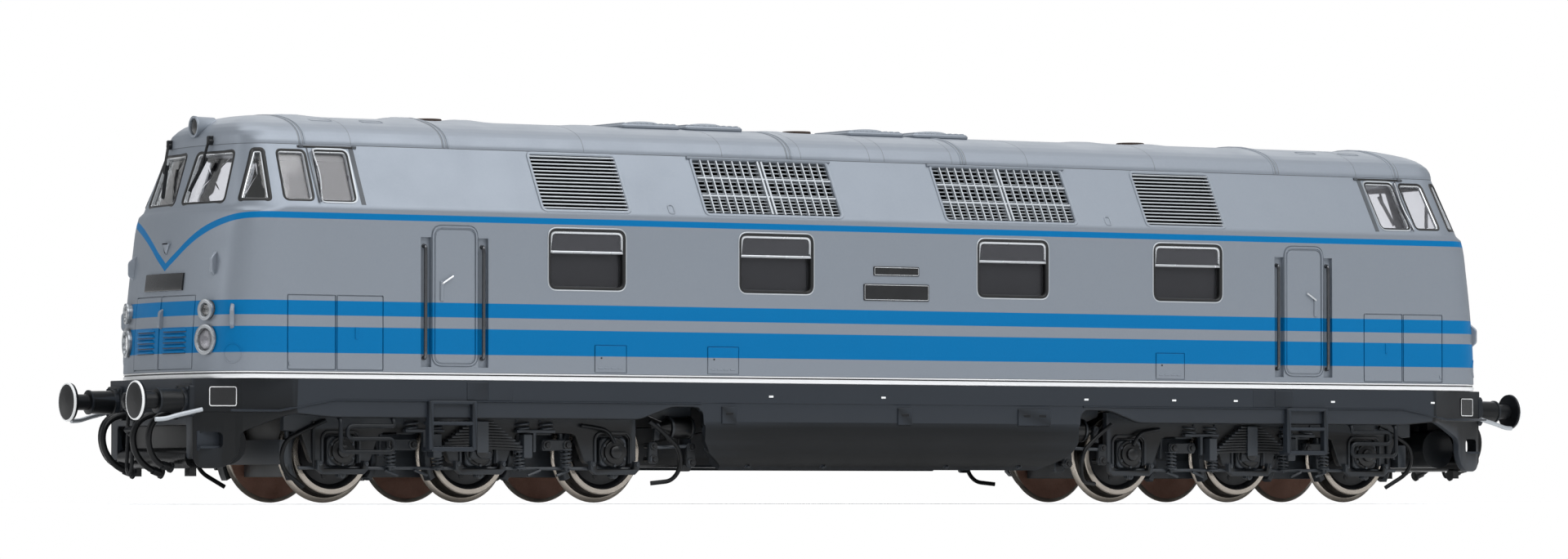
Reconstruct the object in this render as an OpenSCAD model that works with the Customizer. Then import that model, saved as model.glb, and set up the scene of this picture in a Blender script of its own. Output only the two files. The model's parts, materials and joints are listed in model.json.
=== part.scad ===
// Six-axle diesel locomotive, a ready-made 1:87 display model with two cabs.
// X runs along the locomotive, Y across it and Z up. Every height below is
// counted from the rail head; lift() raises the model until its wheel flanges
// stand on the plane z = 0. Both ends and both sides are alike.

/* [Overall] */
// Length over the buffer heads
buffer_len = 223.7; // [200:0.1:270]
// Width of the body
body_w = 35; // [30:0.1:42]
// Height of the roof's crown above the rail head
crown_z = 50; // [48:0.1:60]
// Thickness of the moulded body walls
wall = 1.2; // [0.8:0.05:1.6]
// Running clearance between turning pieces
run_gap = 0.05; // [0.03:0.01:0.1]

/* [Body shell] */
// How far the buffer heads stand out past the nose
buffer_reach = 8.45; // [6:0.05:10]
// Height of the body's lower edge
sill_z = 16.05; // [15.6:0.05:17]
// Height of the waist, where the sides start to lean in
waist_z = 37.4; // [36.5:0.1:38]
// Height of the eaves, where the roof sits on the sides
eaves_z = 45.7; // [45.2:0.1:47]
// How far each side leans in between waist and eaves
side_lean = 4.77; // [3:0.01:5.5]
// How far the nose bows out at its middle
nose_bow = 1.65; // [0.5:0.05:2.5]
// Radius of the nose's upright corners
nose_corner_r = 5.6; // [4:0.1:7]
// How far the nose falls back from sill to waist
nose_rake = 2.2; // [1:0.05:3]
// How far the windscreens fall back from waist to eaves
screen_rake = 2.7; // [1.5:0.05:4]

/* [Cab windows] */
// Height of the cab windows' lower edge above the waist
cab_sill = 0.75; // [0.5:0.05:1.5]
// Drop of the cab windows' upper edge below the eaves
cab_head = 0.75; // [0.5:0.05:1.5]
// Width of the pillar between the windscreens at their foot
pillar_low_w = 1.9; // [1.4:0.05:3]
// Width of the pillar between the windscreens at their head
pillar_high_w = 2.8; // [1.4:0.05:4]
// Distance of the windscreens' outer edges from the side wall at their foot
screen_side_low = 6.4; // [5.5:0.05:7]
// Distance of the windscreens' outer edges from the side wall at their head
screen_side_high = 7.4; // [6.5:0.05:8]
// Width of a corner window at its foot
corner_low_w = 4.6; // [3:0.1:5]
// Width of a corner window at its head
corner_high_w = 1.6; // [1:0.1:2.4]

/* [Side windows and grilles] */
// Distance of the outer engine-room windows from mid-length
window_x_outer = 48.74; // [44:0.01:52]
// Distance of the inner engine-room windows from mid-length
window_x_inner = 19.2; // [15:0.01:24]
// Width of an engine-room window opening
window_w = 11.7; // [9:0.1:14]
// Lower edge of the engine-room windows
window_z = 27.25; // [26:0.05:29]
// Height of the engine-room windows
window_h = 8; // [6:0.1:8.6]
// Distance of the louvre grilles from mid-length
louvre_x = 48.66; // [46:0.02:54]
// Distance of the mesh grilles from mid-length
mesh_x = 19.28; // [14:0.02:24]
// Width of a louvre grille
louvre_w = 13.3; // [10:0.1:16]
// Width of a mesh grille
mesh_w = 21.6; // [16:0.1:24]
// Number of slats in a louvre grille
louvre_n = 15; // [8:1:18]

/* [Lamps and plates] */
// Distance of the lamps from the side wall
lamp_side = 6.35; // [5.5:0.05:8]
// Height of the lower lamps
lamp_low_z = 19.8; // [19:0.05:21]
// Height of the upper lamps
lamp_high_z = 24.25; // [23.5:0.05:26]
// Radius of the lower lamps
lamp_low_r = 1.95; // [1.5:0.05:2.2]
// Radius of the upper lamps
lamp_high_r = 1.3; // [1:0.05:1.5]
// Drop of the forehead lamp below the roof's crown
top_lamp_drop = 1.7; // [1.5:0.05:2]
// Radius of the forehead lamp
top_lamp_r = 1.35; // [1:0.05:1.5]
// Thickness of the blank plates
plate_t = 0.25; // [0.15:0.05:0.4]

/* [Doors] */
// Distance of the door centres from mid-length
door_x = 68.8; // [66:0.1:72]
// Width of a cab door
door_w = 7; // [6:0.1:8]
// Lower edge of the doors
door_z = 16.85; // [16.6:0.05:18]
// Height of the doors
door_h = 18.4; // [14:0.1:19]
// Depth of the pockets behind the handrails
pocket_depth = 0.6; // [0.3:0.05:0.8]
// Distance of each handrail from its door's centre
handrail_off = 4.45; // [4.3:0.05:5]
// Distance of the handrail pockets from their door's centre
pocket_off = 4.25; // [4.1:0.05:5]
// Thickness of the handrail wire
handrail_d = 0.5; // [0.4:0.05:0.7]

/* [Running gear] */
// Distance of the bogie pivots from mid-length
pivot_x = 62.5; // [60:0.1:66]
// Distance between neighbouring axles
axle_gap = 20.55; // [18:0.05:23]
// Radius of the wheel treads
tread_r = 5.75; // [4.8:0.05:6.9]
// Depth of the wheel flanges
flange_h = 1; // [0.6:0.05:1.2]
// Width of a wheel
wheel_w = 2.8; // [2.4:0.1:3]
// Distance between the backs of a pair of wheels
back_gap = 14.3; // [14:0.05:14.6]
// Radius of the axles
axle_r = 1; // [0.8:0.05:1.2]
// Distance of the bogie side frames from the middle
side_y = 11.4; // [10.8:0.05:11.6]
// Thickness of the bogie side frames
side_t = 1.1; // [0.8:0.05:1.3]
// Number of leaves in a bogie spring
leaf_n = 6; // [4:1:8]
// Radius of the pivot pins that carry the underframe
pivot_r = 3; // [2.5:0.1:4]

/* [Underframe] */
// Height of the skirt's lower edge over the bogies
skirt_z = 10.05; // [9.6:0.05:10.6]
// Thickness of the skirt plates
skirt_t = 1; // [0.8:0.05:1.4]
// Distance of the tapers' ends from the nose
taper_len = 11; // [8:0.1:16]
// Half the width of the buffer beams
beam_half = 12; // [11:0.1:12.5]
// Half the length of the fuel tank
tank_half = 30; // [26:0.1:32]
// Height of the underside of the fuel tank and the aprons
low_z = 3.45; // [3:0.05:4.5]
// Radius of the cross tanks behind the aprons
air_r = 2.75; // [2:0.05:3]
// Radius of the brake cylinders
brake_r = 1.47; // [1.2:0.01:1.6]
// Thickness of step and loop wire
loop_d = 0.6; // [0.4:0.05:0.7]

/* [Buffers and drawgear] */
// Height of the buffer centres
buffer_z = 12.2; // [11.8:0.05:12.4]
// Distance of the buffer centres from the middle
buffer_y = 10.06; // [9.8:0.02:10.3]
// Diameter of the buffer heads
buffer_d = 5.1; // [4.6:0.1:5.6]
// Thickness of the brake hoses
hose_d = 0.8; // [0.6:0.05:1]

/* [Hidden] */
$fn = 32;

body_half = body_w / 2;
nose_x = buffer_len / 2 - buffer_reach;
beam_x = nose_x + 1;
eaves_half = body_half - 0.09 - side_lean;
waist_half = body_half - 0.09;
lean_slope = side_lean / (eaves_z - waist_z);
strip_h = 0.97;
strip_z = sill_z - strip_h;
floor_t = 1.6;
floor_z = strip_z - floor_t;
fit = 0.02;

// Level of the body: height, setback of the nose, half width, bow and corner radius.
shell_levels = [
  [sill_z, 0, body_half, nose_bow, nose_corner_r],
  [sill_z + 5, 0.07 * nose_rake, body_half, nose_bow, nose_corner_r],
  [sill_z + 10, 0.27 * nose_rake, body_half, nose_bow, nose_corner_r],
  [sill_z + 16, 0.6 * nose_rake, body_half - 0.03, nose_bow, nose_corner_r],
  [waist_z - 1.6, 0.86 * nose_rake, body_half - 0.06, nose_bow, nose_corner_r],
  [waist_z - 0.6, nose_rake, body_half - 0.07, nose_bow, nose_corner_r],
  [waist_z, nose_rake + 0.4, waist_half, nose_bow, nose_corner_r + 1],
  [eaves_z, nose_rake + 0.4 + screen_rake, eaves_half, nose_bow - 0.6, nose_corner_r - 1.7]
];

roof_rise = crown_z - eaves_z;
// Roof levels: share of the rise, extra setback of the nose, share of the half width.
roof_steps = [
  [0, 0, 1], [0.1, 0, 0.997], [0.25, 0.05, 0.975], [0.4, 0.3, 0.94], [0.53, 0.75, 0.885],
  [0.66, 1.4, 0.8], [0.78, 2.4, 0.68], [0.88, 3.8, 0.53], [0.95, 5.4, 0.36],
  [0.985, 6.8, 0.21], [1, 8, 0.06]
];
roof_back = nose_rake + 0.4 + screen_rake;
roof_levels = [for (s = roof_steps) [
  eaves_z + s[0] * roof_rise, roof_back + s[1], eaves_half * s[2],
  (nose_bow - 0.6) * s[2], (nose_corner_r - 1.7) * min(1, s[2] + 0.1) * 0.98
]];

bow_n = 5;
arc_n = 7;

// Half the outline of one level, from the middle of the nose to the side wall.
function quarter(l, inset) =
  let (hw = l[2] - inset, r = max(0.2, l[4] - inset), tip = nose_x - l[1] - inset,
       y0 = hw - r, bow = min(l[3], hw * 0.4), a = atan(2 * bow / max(y0, 0.2)),
       yb = y0 + r * sin(a), xc = tip - bow - r * cos(a))
  concat(
    [for (i = [0 : bow_n - 1]) let (y = yb * i / bow_n) [tip - bow * pow(y / yb, 2), y]],
    [for (i = [0 : arc_n]) let (t = a + (90 - a) * i / arc_n) [xc + r * cos(t), y0 + r * sin(t)]]
  );

// Whole outline of one level, anticlockwise, with four mirrored quarters.
function outline(l, inset) =
  let (q = quarter(l, inset), n = len(q))
  concat(
    [for (p = q) p],
    [for (i = [n - 1 : -1 : 0]) [-q[i][0], q[i][1]]],
    [for (i = [1 : n - 1]) [-q[i][0], -q[i][1]]],
    [for (i = [n - 1 : -1 : 1]) [q[i][0], -q[i][1]]]
  );

// Solid through a stack of levels.
module loft(levels, inset = 0) {
  rings = [for (l = levels) [for (p = outline(l, inset)) [p[0], p[1], l[0]]]];
  n = len(rings[0]);
  m = len(rings);
  pts = [for (r = rings) for (p = r) p];
  faces = concat(
    [[for (i = [0 : n - 1]) i]],
    [for (k = [0 : m - 2]) for (i = [0 : n - 1]) let (j = (i + 1) % n)
      [k * n + i, (k + 1) * n + i, k * n + j]],
    [for (k = [0 : m - 2]) for (i = [0 : n - 1]) let (j = (i + 1) % n)
      [(k + 1) * n + i, (k + 1) * n + j, k * n + j]],
    [[for (i = [n - 1 : -1 : 0]) (m - 1) * n + i]]
  );
  polyhedron(pts, faces);
}

// Half width of the body at a height between waist and eaves.
function lean_y(z) = waist_half - (z - waist_z) * lean_slope;

module lift() {
  translate([0, 0, flange_h]) children();
}

// Copies at both ends, the second one turned half a turn.
module both_ends() {
  children();
  rotate([0, 0, 180]) children();
}

// Copies on both sides.
module both_sides() {
  children();
  mirror([0, 1, 0]) children();
}

module all_corners() {
  both_sides() both_ends() children();
}

module rounded_rect(w, h, r) {
  square([w - 2 * r, h], center = true);
  square([w, h - 2 * r], center = true);
  for (x = [-1, 1], y = [-1, 1])
    translate([x * (w / 2 - r), y * (h / 2 - r)]) circle(r);
}

// Prism along Y whose profile is drawn in X and Z.
module across(len) {
  rotate([90, 0, 0]) linear_extrude(len, center = true) children();
}

// Prism along X whose profile is drawn in Y and Z.
module along(len) {
  rotate([90, 0, 90]) linear_extrude(len, center = true) children();
}

// ---- openings of the body ----

module engine_windows(grow = 0) {
  for (x = [-window_x_outer, -window_x_inner, window_x_inner, window_x_outer])
    translate([x, window_z + window_h / 2])
      rounded_rect(window_w + 2 * grow, window_h + 2 * grow, 1.2 + grow);
}

screen_bottom = waist_z + cab_sill - 0.25;
screen_top = eaves_z - cab_head - 0.1;

module screen_shape() {
  for (s = [-1, 1])
    polygon([
      [s * pillar_low_w / 2, screen_bottom], [s * (body_half - screen_side_low), screen_bottom],
      [s * (body_half - screen_side_high), screen_top], [s * pillar_high_w / 2, screen_top]
    ]);
}

cab_window_low = waist_z + cab_sill;
cab_window_high = eaves_z - cab_head;
// Side windows of the cab: distances of their front and back edges from the nose, at
// the foot and at the head.
cab_windows = [[9.75, 14.2, 14.7, 10.4], [15.1, 20.3, 20.8, 15.7]];

module cab_side_shapes() {
  for (w = cab_windows)
    polygon([
      [nose_x - w[0], cab_window_low], [nose_x - w[1], cab_window_low],
      [nose_x - w[2], cab_window_high], [nose_x - w[3], cab_window_high]
    ]);
}

// Corner windows: upright trapezoids that look out at 45 degrees.
corner_in = [6.5, 2.55];
corner_lean = 0.65;

module corner_prism() {
  foot = corner_low_w / 2;
  head = corner_high_w / 2;
  translate([nose_x - corner_in[0], body_half - corner_in[1], 0])
    rotate([0, 0, 45])
      along(9) polygon([
        [-foot, cab_window_low - 0.1], [foot, cab_window_low - 0.1],
        [head - corner_lean, cab_window_high + 0.1],
        [-head - corner_lean, cab_window_high + 0.1]
      ]);
}

screen_depth = 12;

module cab_opening_prisms() {
  translate([nose_x, 0, 0]) along(2 * screen_depth) screen_shape();
  across(body_w + 10) cab_side_shapes();
  both_sides() corner_prism();
}

// Frame of reference on the leaning side panel: X along, Y up the panel, Z outwards.
lean_a = atan(lean_slope);
panel_h = (eaves_z - waist_z) / cos(lean_a);
module on_panel(x) {
  translate([x, -waist_half, waist_z])
    rotate([90 - lean_a, 0, 0])
      children();
}

module panel_rect(w, h, t, r, lift_by = 0) {
  translate([0, panel_h / 2, lift_by]) linear_extrude(t) rounded_rect(w, h, r);
}

grille_h = panel_h - 0.7;
grille_rim = 0.3;

// The four places of a grille: both sides, in front of and behind mid-length.
module at_grilles(x) {
  both_sides() for (s = [-1, 1]) on_panel(s * x) children();
}

module grille_opening(w) {
  panel_rect(w - 2 * grille_rim, grille_h - 2 * grille_rim, 3 * wall, 0.5, -2 * wall);
}

lamp_y = body_half - lamp_side;
lamp_x = nose_x - 1.25;
lamp_depth = 2.5;

// Calls its child once for each lamp of an end, with the radius as the special variable $r.
module at_lamps() {
  for (s = [-1, 1], l = [[lamp_low_z, lamp_low_r, 0], [lamp_high_z, lamp_high_r, 0.2]]) {
    $r = l[1];
    translate([lamp_x - l[2], s * lamp_y, l[0]]) rotate([0, 90, 0]) children();
  }
}

pocket_w = 1.55;

module handrail_pockets() {
  all_corners() for (s = [-1, 1])
    translate([door_x + s * pocket_off, body_half, door_z + (door_h - 1.6) / 2])
      cube([pocket_w, 2 * pocket_depth, door_h - 1.4], center = true);
}

module body_shell() {
  color("silver") lift() difference() {
    loft(shell_levels);
    loft(shell_levels, wall);
    translate([0, 0, sill_z]) cube([2 * nose_x - 20, body_w - 2 * wall, 2], center = true);
    across(body_w + 10) engine_windows();
    both_ends() cab_opening_prisms();
    at_grilles(louvre_x) grille_opening(louvre_w);
    at_grilles(mesh_x) grille_opening(mesh_w);
    both_ends() at_lamps() cylinder(r = $r, h = 10, center = true);
    handrail_pockets();
  }
}

module roof() {
  color("silver") lift() difference() {
    loft(roof_levels);
    translate([0, 0, -wall]) loft(roof_levels, wall);
    both_ends() translate([nose_x - roof_back - 3, 0, top_lamp_z])
      rotate([0, 90, 0]) cylinder(r = top_lamp_r + fit, h = 6);
  }
}

// ---- panes ----

pane_out = 0.25;
pane_in = 0.85;

module cab_panes() {
  intersection() {
    difference() {
      loft(shell_levels, pane_out);
      loft(shell_levels, pane_in);
    }
    cab_opening_prisms();
  }
}

module cab_glazing() {
  color("lightblue", 0.4) lift() both_ends() cab_panes();
}

// Width of the gasket round an engine-room window.
gasket_w = 0.35;

module side_window_glazing() {
  color("lightblue", 0.4) lift() both_sides()
    translate([0, -body_half + 0.8, 0]) across(0.5) engine_windows(-gasket_w);
}

module side_window_frames() {
  color("lightgray") lift() both_sides()
    translate([0, -body_half + 0.55, 0]) across(1) difference() {
      engine_windows();
      engine_windows(-gasket_w);
    }
}

// ---- grilles ----

slat_t = 0.2;

// Rim of a grille, sunk into its opening, with the openings of its child cut out.
module grille_rim_plate(w) {
  translate([0, 0, -0.5]) difference() {
    panel_rect(w - 2 * grille_rim, grille_h - 2 * grille_rim, 0.7, 0.5);
    translate([0, panel_h / 2, -0.5]) linear_extrude(2) children();
  }
}

module louvre_grilles() {
  color("silver") lift() at_grilles(louvre_x) {
    grille_rim_plate(louvre_w) square([louvre_w - 1.6, grille_h - 1.6], center = true);
    for (i = [0 : louvre_n - 1])
      translate([0, 1.1 + (panel_h - 2.2) * (i + 0.5) / louvre_n, -0.4])
        rotate([35, 0, 0]) cube([louvre_w - 1.5, slat_t, 0.6], center = true);
  }
}

module mesh_grilles() {
  w = (mesh_w - 1.2) / 2;
  h = (grille_h - 1.2) / 3;
  color("silver") lift() at_grilles(mesh_x)
    grille_rim_plate(mesh_w) for (i = [-0.5, 0.5], j = [-1 : 1])
      translate([i * w, j * h]) square([w - 0.5, h - 0.4], center = true);
}

// ---- lamps and wipers ----

module cup(r, depth, sunk) {
  difference() {
    cylinder(r = r, h = depth);
    translate([0, 0, depth - sunk]) cylinder(r = r - 0.42, h = sunk + 0.1);
  }
}

// Centre lamp in the forehead: a short tube that stands out of the roof.
top_lamp_z = crown_z - top_lamp_drop;
top_lamp_depth = 2.6;

module end_lamps() {
  at_lamps() translate([0, 0, 0.3 - lamp_depth]) cup($r - fit, lamp_depth, 0.9);
  translate([nose_x - roof_back + 0.2 - top_lamp_depth, 0, top_lamp_z])
    rotate([0, 90, 0]) cup(top_lamp_r, top_lamp_depth, 0.8);
}

module headlamps() {
  color("gainsboro") lift() both_ends() end_lamps();
}

// Distances of the wiper pivots from the middle of their end.
wiper_ys = [3.9, -7.6];
wiper_len = 6.6;

module wiper_pair() {
  for (y = wiper_ys)
    translate([nose_x - roof_back - 0.9, y, eaves_z + 0.4]) {
      cube([2.4, 0.9, 0.8], center = true);
      translate([0.9, 0, 0]) rotate([0, 20, 0]) translate([0, 0, -wiper_len / 2])
        cube([0.45, 0.5, wiper_len], center = true);
    }
}

// What lies inside the outer surface of body and roof.
module body_solid() {
  loft(shell_levels);
  loft(roof_levels);
}

module wipers() {
  color("black") lift() difference() {
    both_ends() wiper_pair();
    body_solid();
  }
}

// ---- doors' wires, plates and strip ----

rail_foot = 17.8;
rail_len = 14.85;
rail_y = body_half - 0.35;

module door_handrails() {
  color("dimgray") lift() all_corners() for (s = [-1, 1])
    translate([door_x + s * handrail_off, rail_y, rail_foot]) {
      cylinder(d = handrail_d, h = rail_len);
      for (z = [0.4, rail_len - 0.4])
        translate([0, 0.36 - pocket_depth, z])
          rotate([-90, 0, 0]) cylinder(d = handrail_d, h = pocket_depth - 0.3);
    }
}

// Blank plates: distance along, height of the middle, width and height.
side_plates = [[0, 27.65, 10.6, 2.3], [0, 30.55, 7.4, 1.3]];
end_plate = [27.75, 10.8, 2.3];

module number_plates() {
  color("black") lift() {
    both_sides() for (q = side_plates)
      translate([q[0], -body_half - plate_t / 2, q[1]]) cube([q[2], plate_t, q[3]], center = true);
    difference() {
      both_ends() translate([nose_x - 0.9, 0, end_plate[0]])
        cube([4 * plate_t, end_plate[1], end_plate[2]], center = true);
      loft(shell_levels);
    }
  }
}

strip_in = 0.1;

module strip_ring(rise, inset) {
  loft([
    [strip_z - rise, strip_in, body_half - strip_in, nose_bow, nose_corner_r],
    [sill_z + rise, strip_in, body_half - strip_in, nose_bow, nose_corner_r]
  ], inset);
}

module sill_strip() {
  color("white") lift() difference() {
    strip_ring(0, 0);
    strip_ring(1, 1);
  }
}

// ---- underframe ----

// Plan of the underframe: straight sides that taper in to the buffer beams.
taper_x = nose_x - taper_len;
frame_half = body_half - 0.1;

module frame_plan(inset = 0) {
  polygon([
    [beam_x - inset, beam_half - 0.7 * inset], [taper_x, frame_half - inset],
    [-taper_x, frame_half - inset], [-beam_x + inset, beam_half - 0.7 * inset],
    [-beam_x + inset, -beam_half + 0.7 * inset], [-taper_x, -frame_half + inset],
    [taper_x, -frame_half + inset], [beam_x - inset, -beam_half + 0.7 * inset]
  ]);
}

notch_x = tank_half + 0.6;
notch_z = 11.75;

// Half the outline of the skirts seen from the side; the other half mirrors it.
skirt_half = [
  [beam_x, strip_z], [beam_x, low_z + 1.2], [beam_x - 0.8, low_z], [nose_x - 2.6, low_z],
  [nose_x - 4, 4.5], [nose_x - 4.65, 5.9], [nose_x - 4.65, 8.1], [nose_x - 9, 9.9], [taper_x, skirt_z + 0.5],
  [taper_x - 6, skirt_z],
  [40.5, skirt_z], [35.5, notch_z], [notch_x + 0.8, notch_z], [notch_x, notch_z - 0.8],
  [notch_x, skirt_z - 0.5]
];

// Closes half an outline with its mirror image.
function with_mirror(h) = concat(h, [for (i = [len(h) - 1 : -1 : 0]) [-h[i][0], h[i][1]]]);

step_hole_w = 3.2;
beam_low = 9;
apron_half = beam_half - 2;

module underframe() {
  color("darkslategray") lift() difference() {
    intersection() {
      linear_extrude(strip_z) frame_plan();
      across(body_w) polygon(with_mirror(skirt_half));
    }
    translate([0, 0, -1]) linear_extrude(floor_z + 1) frame_plan(skirt_t);
    for (s = [-1, 1])
      translate([s * pivot_x, 0, floor_z - 1]) cylinder(r = pivot_r + run_gap, h = floor_t + 2);
    all_corners() translate([nose_x - 1.3, 0, 7]) across(body_w) rounded_rect(step_hole_w, 2.3, 0.6);
    both_ends() translate([beam_x, 0, beam_low / 2]) cube([4, 2 * apron_half, beam_low], center = true);
  }
}

// Half the cross-section of the tank: upright sides that turn in to a flat bottom.
tank_side = [
  [frame_half - skirt_t, floor_z], [frame_half - skirt_t, skirt_z - 0.5],
  [frame_half, skirt_z - 0.5], [frame_half, 8.6], [frame_half - 0.35, 6.9],
  [frame_half - 1.2, 5.4], [frame_half - 2.5, 4.2], [frame_half - 4.2, low_z]
];

tank_end_in = 4;

module fuel_tank() {
  color("darkslategray") lift() difference() {
    along(2 * tank_half) polygon(with_mirror(tank_side));
    both_ends() translate([tank_half, 0, 0])
      cube([2 * tank_end_in, 2 * frame_half - 2.2, 2 * floor_z + 1], center = true);
  }
}

apron_r = 1.35;

module apron() {
  translate([beam_x - apron_r, 0, low_z + apron_r])
    rotate([90, 0, 0]) cylinder(r = apron_r, h = 2 * apron_half, center = true);
  translate([beam_x - 1.9, 0, (floor_z + low_z + 1) / 2])
    cube([0.8, 2 * apron_half, floor_z - low_z - 1], center = true);
  for (s = [-1, 1]) translate([beam_x - 1.8, s * (apron_half - 2), low_z - 0.4])
    cube([1, 1.4, 1.2], center = true);
}

module aprons() {
  color("darkslategray") lift() both_ends() apron();
}

// ---- buffers, hook and hoses ----

buffer_head_t = 0.8;
buffer_throw = buffer_len / 2 - beam_x;

module buffer_pair() {
  for (s = [-1, 1]) translate([beam_x, s * buffer_y, buffer_z]) rotate([0, 90, 0]) {
    cylinder(d = 4, h = 0.45);
    cylinder(d = 3, h = 3.7);
    cylinder(d = 2.2, h = buffer_throw - buffer_head_t + 0.1);
    translate([0, 0, buffer_throw - buffer_head_t]) cylinder(d = buffer_d, h = buffer_head_t);
  }
}

module buffers() {
  color("black") lift() both_ends() buffer_pair();
}

// Drawhook on its guide plate, with the first link of a screw coupling hanging down.
module coupling() {
  translate([beam_x, 0, buffer_z]) {
    translate([0.25, 0, 0]) cube([0.5, 4, 3.4], center = true);
    translate([1.6, 0, 0]) cube([2.6, 0.9, 1.3], center = true);
    translate([3.4, 0, 0.2]) difference() {
      rotate([90, 0, 0]) cylinder(r = 1.5, h = 0.9, center = true);
      translate([0.35, 0, 0.55]) rotate([90, 0, 0]) cylinder(r = 0.65, h = 2, center = true);
      translate([0.9, 0, 1.4]) cube([1.1, 2, 1.6], center = true);
    }
    translate([3.4, 0, -3.4]) {
      for (z = [0, 3.4]) translate([0, 0, z]) rotate([90, 0, 0]) cylinder(d = 0.9, h = 2.2, center = true);
      for (s = [-1, 1]) translate([0, s * 0.85, 1.8]) cube([0.5, 0.5, 3.6], center = true);
    }
  }
}

module drawgear() {
  color("black") lift() both_ends() coupling();
}

// Brake hose: out of its cock, round a hanging loop and back to its holder.
module hose(y, reach, drop) {
  out = reach / 2;
  back = out - 0.4;
  translate([beam_x, y, 10.4]) {
    rotate([0, 90, 0]) cylinder(d = 1.2, h = 0.8);
    rotate([0, 90, 0]) cylinder(d = hose_d, h = out);
    translate([out, 0, -out]) rotate([90, 0, 0]) rotate_extrude(angle = 90)
      translate([out, 0]) circle(d = hose_d, $fn = 16);
    translate([reach, 0, -out - drop]) cylinder(d = hose_d, h = drop);
    translate([out + 0.4, 0, -out - drop]) rotate([-90, 0, 0]) rotate_extrude(angle = 180)
      translate([back, 0]) circle(d = hose_d, $fn = 16);
    translate([0.8, 0, -out - drop]) cylinder(d = hose_d, h = 1.5);
  }
}

// Each hose's distance from the middle, reach and extra drop.
hose_list = [[-7.2, 4.4, 0.4], [-4.6, 5.6, 1.2], [4.6, 5.6, 1.2], [7.2, 4.4, 0.4]];

module hose_set() {
  for (h = hose_list) hose(h[0], h[1], h[2]);
}

module hoses() {
  color("black") lift() both_ends() hose_set();
}

// ---- steps ----

step_top = 12.3;
step_low = 5.7;
step_w = 6.6;

module door_steps() {
  color("dimgray") lift() all_corners()
    translate([door_x + 0.4, frame_half + 0.3, 0]) {
      for (s = [-1, 1])
        translate([s * (step_w / 2 - 0.45), 0, (step_top + step_low) / 2])
          cube([0.9, 0.6, step_top - step_low], center = true);
      for (z = [step_low + 0.3, (step_low + step_top) / 2 + 0.7, step_top - 0.3])
        translate([0, 0, z]) cube([step_w, 0.6, 0.6], center = true);
    }
}

loop_x = 81.5;
loop_w = 7.8;
loop_zs = [5.62, 7.34, 9];

// Half ring of wire in the plane of X and Z, open towards -X.
module wire_bend(r) {
  rotate([90, 90, 0]) rotate_extrude(angle = 180) translate([r, 0]) circle(d = loop_d, $fn = 16);
}

// Bent-wire climbing step: three bars joined by two half rings, hung on two rods.
module climbing_loop() {
  r1 = (loop_zs[1] - loop_zs[0]) / 2;
  r2 = (loop_zs[2] - loop_zs[1]) / 2;
  bar_x = r2 + 0.3;
  translate([-loop_w / 2, 0, 0]) {
    for (z = loop_zs)
      translate([bar_x, 0, z]) rotate([0, 90, 0]) cylinder(d = loop_d, h = loop_w - r1 - bar_x);
    translate([loop_w - r1, 0, loop_zs[0] + r1]) wire_bend(r1);
    translate([bar_x, 0, loop_zs[1] + r2]) mirror([1, 0, 0]) wire_bend(r2);
    translate([-0.3, 0, loop_zs[0] - loop_d / 2])
      cylinder(d = loop_d, h = skirt_z - loop_zs[0] + loop_d / 2);
    translate([-0.3, 0, loop_zs[0]]) rotate([0, 90, 0]) cylinder(d = loop_d, h = r2 + 1);
    translate([loop_w - r1 - 0.3, 0, loop_zs[2] - loop_d / 2])
      cylinder(d = loop_d, h = skirt_z - loop_zs[2] + loop_d / 2);
  }
}

module climbing_loops() {
  color("dimgray") lift() both_sides() for (s = [-1, 1])
    translate([s * loop_x, frame_half - 0.35, 0]) mirror([s > 0 ? 1 : 0, 0, 0]) climbing_loop();
}

// ---- roof fittings ----

// Distances of the fan vents and of the exhausts from mid-length.
vent_xs = [-31.5, -21.5, 4.8, 15.5];
exhaust_xs = [-63.5, -5.2, 51];

module roof_vents() {
  color("silver") lift() difference() {
    for (x = vent_xs) translate([x, 0, crown_z - 0.5]) {
      translate([0, 0, 0.5]) cube([8.6, 10, 1], center = true);
      cylinder(r1 = 2.6, r2 = 1.5, h = 1.5);
    }
    loft(roof_levels);
  }
}

module exhaust_stacks() {
  color("saddlebrown") lift() difference() {
    for (x = exhaust_xs) translate([x, 0, crown_z - 1]) cylinder(r = 2, h = 1.35);
    loft(roof_levels);
  }
}

// ---- inside ----

cab_back_x = nose_x - 24;

cab_floor_z = sill_z + 1;
cab_half = body_half - wall;
seat_ys = [-9, 4];

// Bulkhead, floor, desk and two seats of a cab.
module cab_inside() {
  translate([cab_back_x, -cab_half, cab_floor_z]) cube([16, 2 * cab_half, 1]);
  translate([cab_back_x - 1, -cab_half, cab_floor_z]) cube([1, 2 * cab_half, 18]);
  translate([nose_x - 9.2, -10.5, cab_floor_z]) cube([4.2, 21, 18]);
  for (y = seat_ys) translate([nose_x - 17, y, cab_floor_z + 1]) {
    translate([1.6, 1.8, 0]) cube([1.2, 1.2, 10]);
    translate([0, 0, 10]) cube([4.6, 4.8, 1.4]);
    translate([0, 0, 11.4]) cube([1, 4.8, 8]);
  }
}

module cab_interiors() {
  color("dimgray") lift() both_ends() cab_inside();
}

module engine_block() {
  color("gray") lift() translate([0, 0, strip_z + 13]) cube([116, 22, 26], center = true);
}

air_z = 6.7;

module air_tanks() {
  color("darkslategray") lift() both_ends()
    translate([nose_x - 5.1, 0, air_z]) {
      rotate([90, 0, 0]) cylinder(r = air_r, h = 20, center = true);
      for (y = [-6, 6]) translate([0, y, (floor_z - air_z) / 2])
        cube([1.6, 1, floor_z - air_z], center = true);
    }
}

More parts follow.
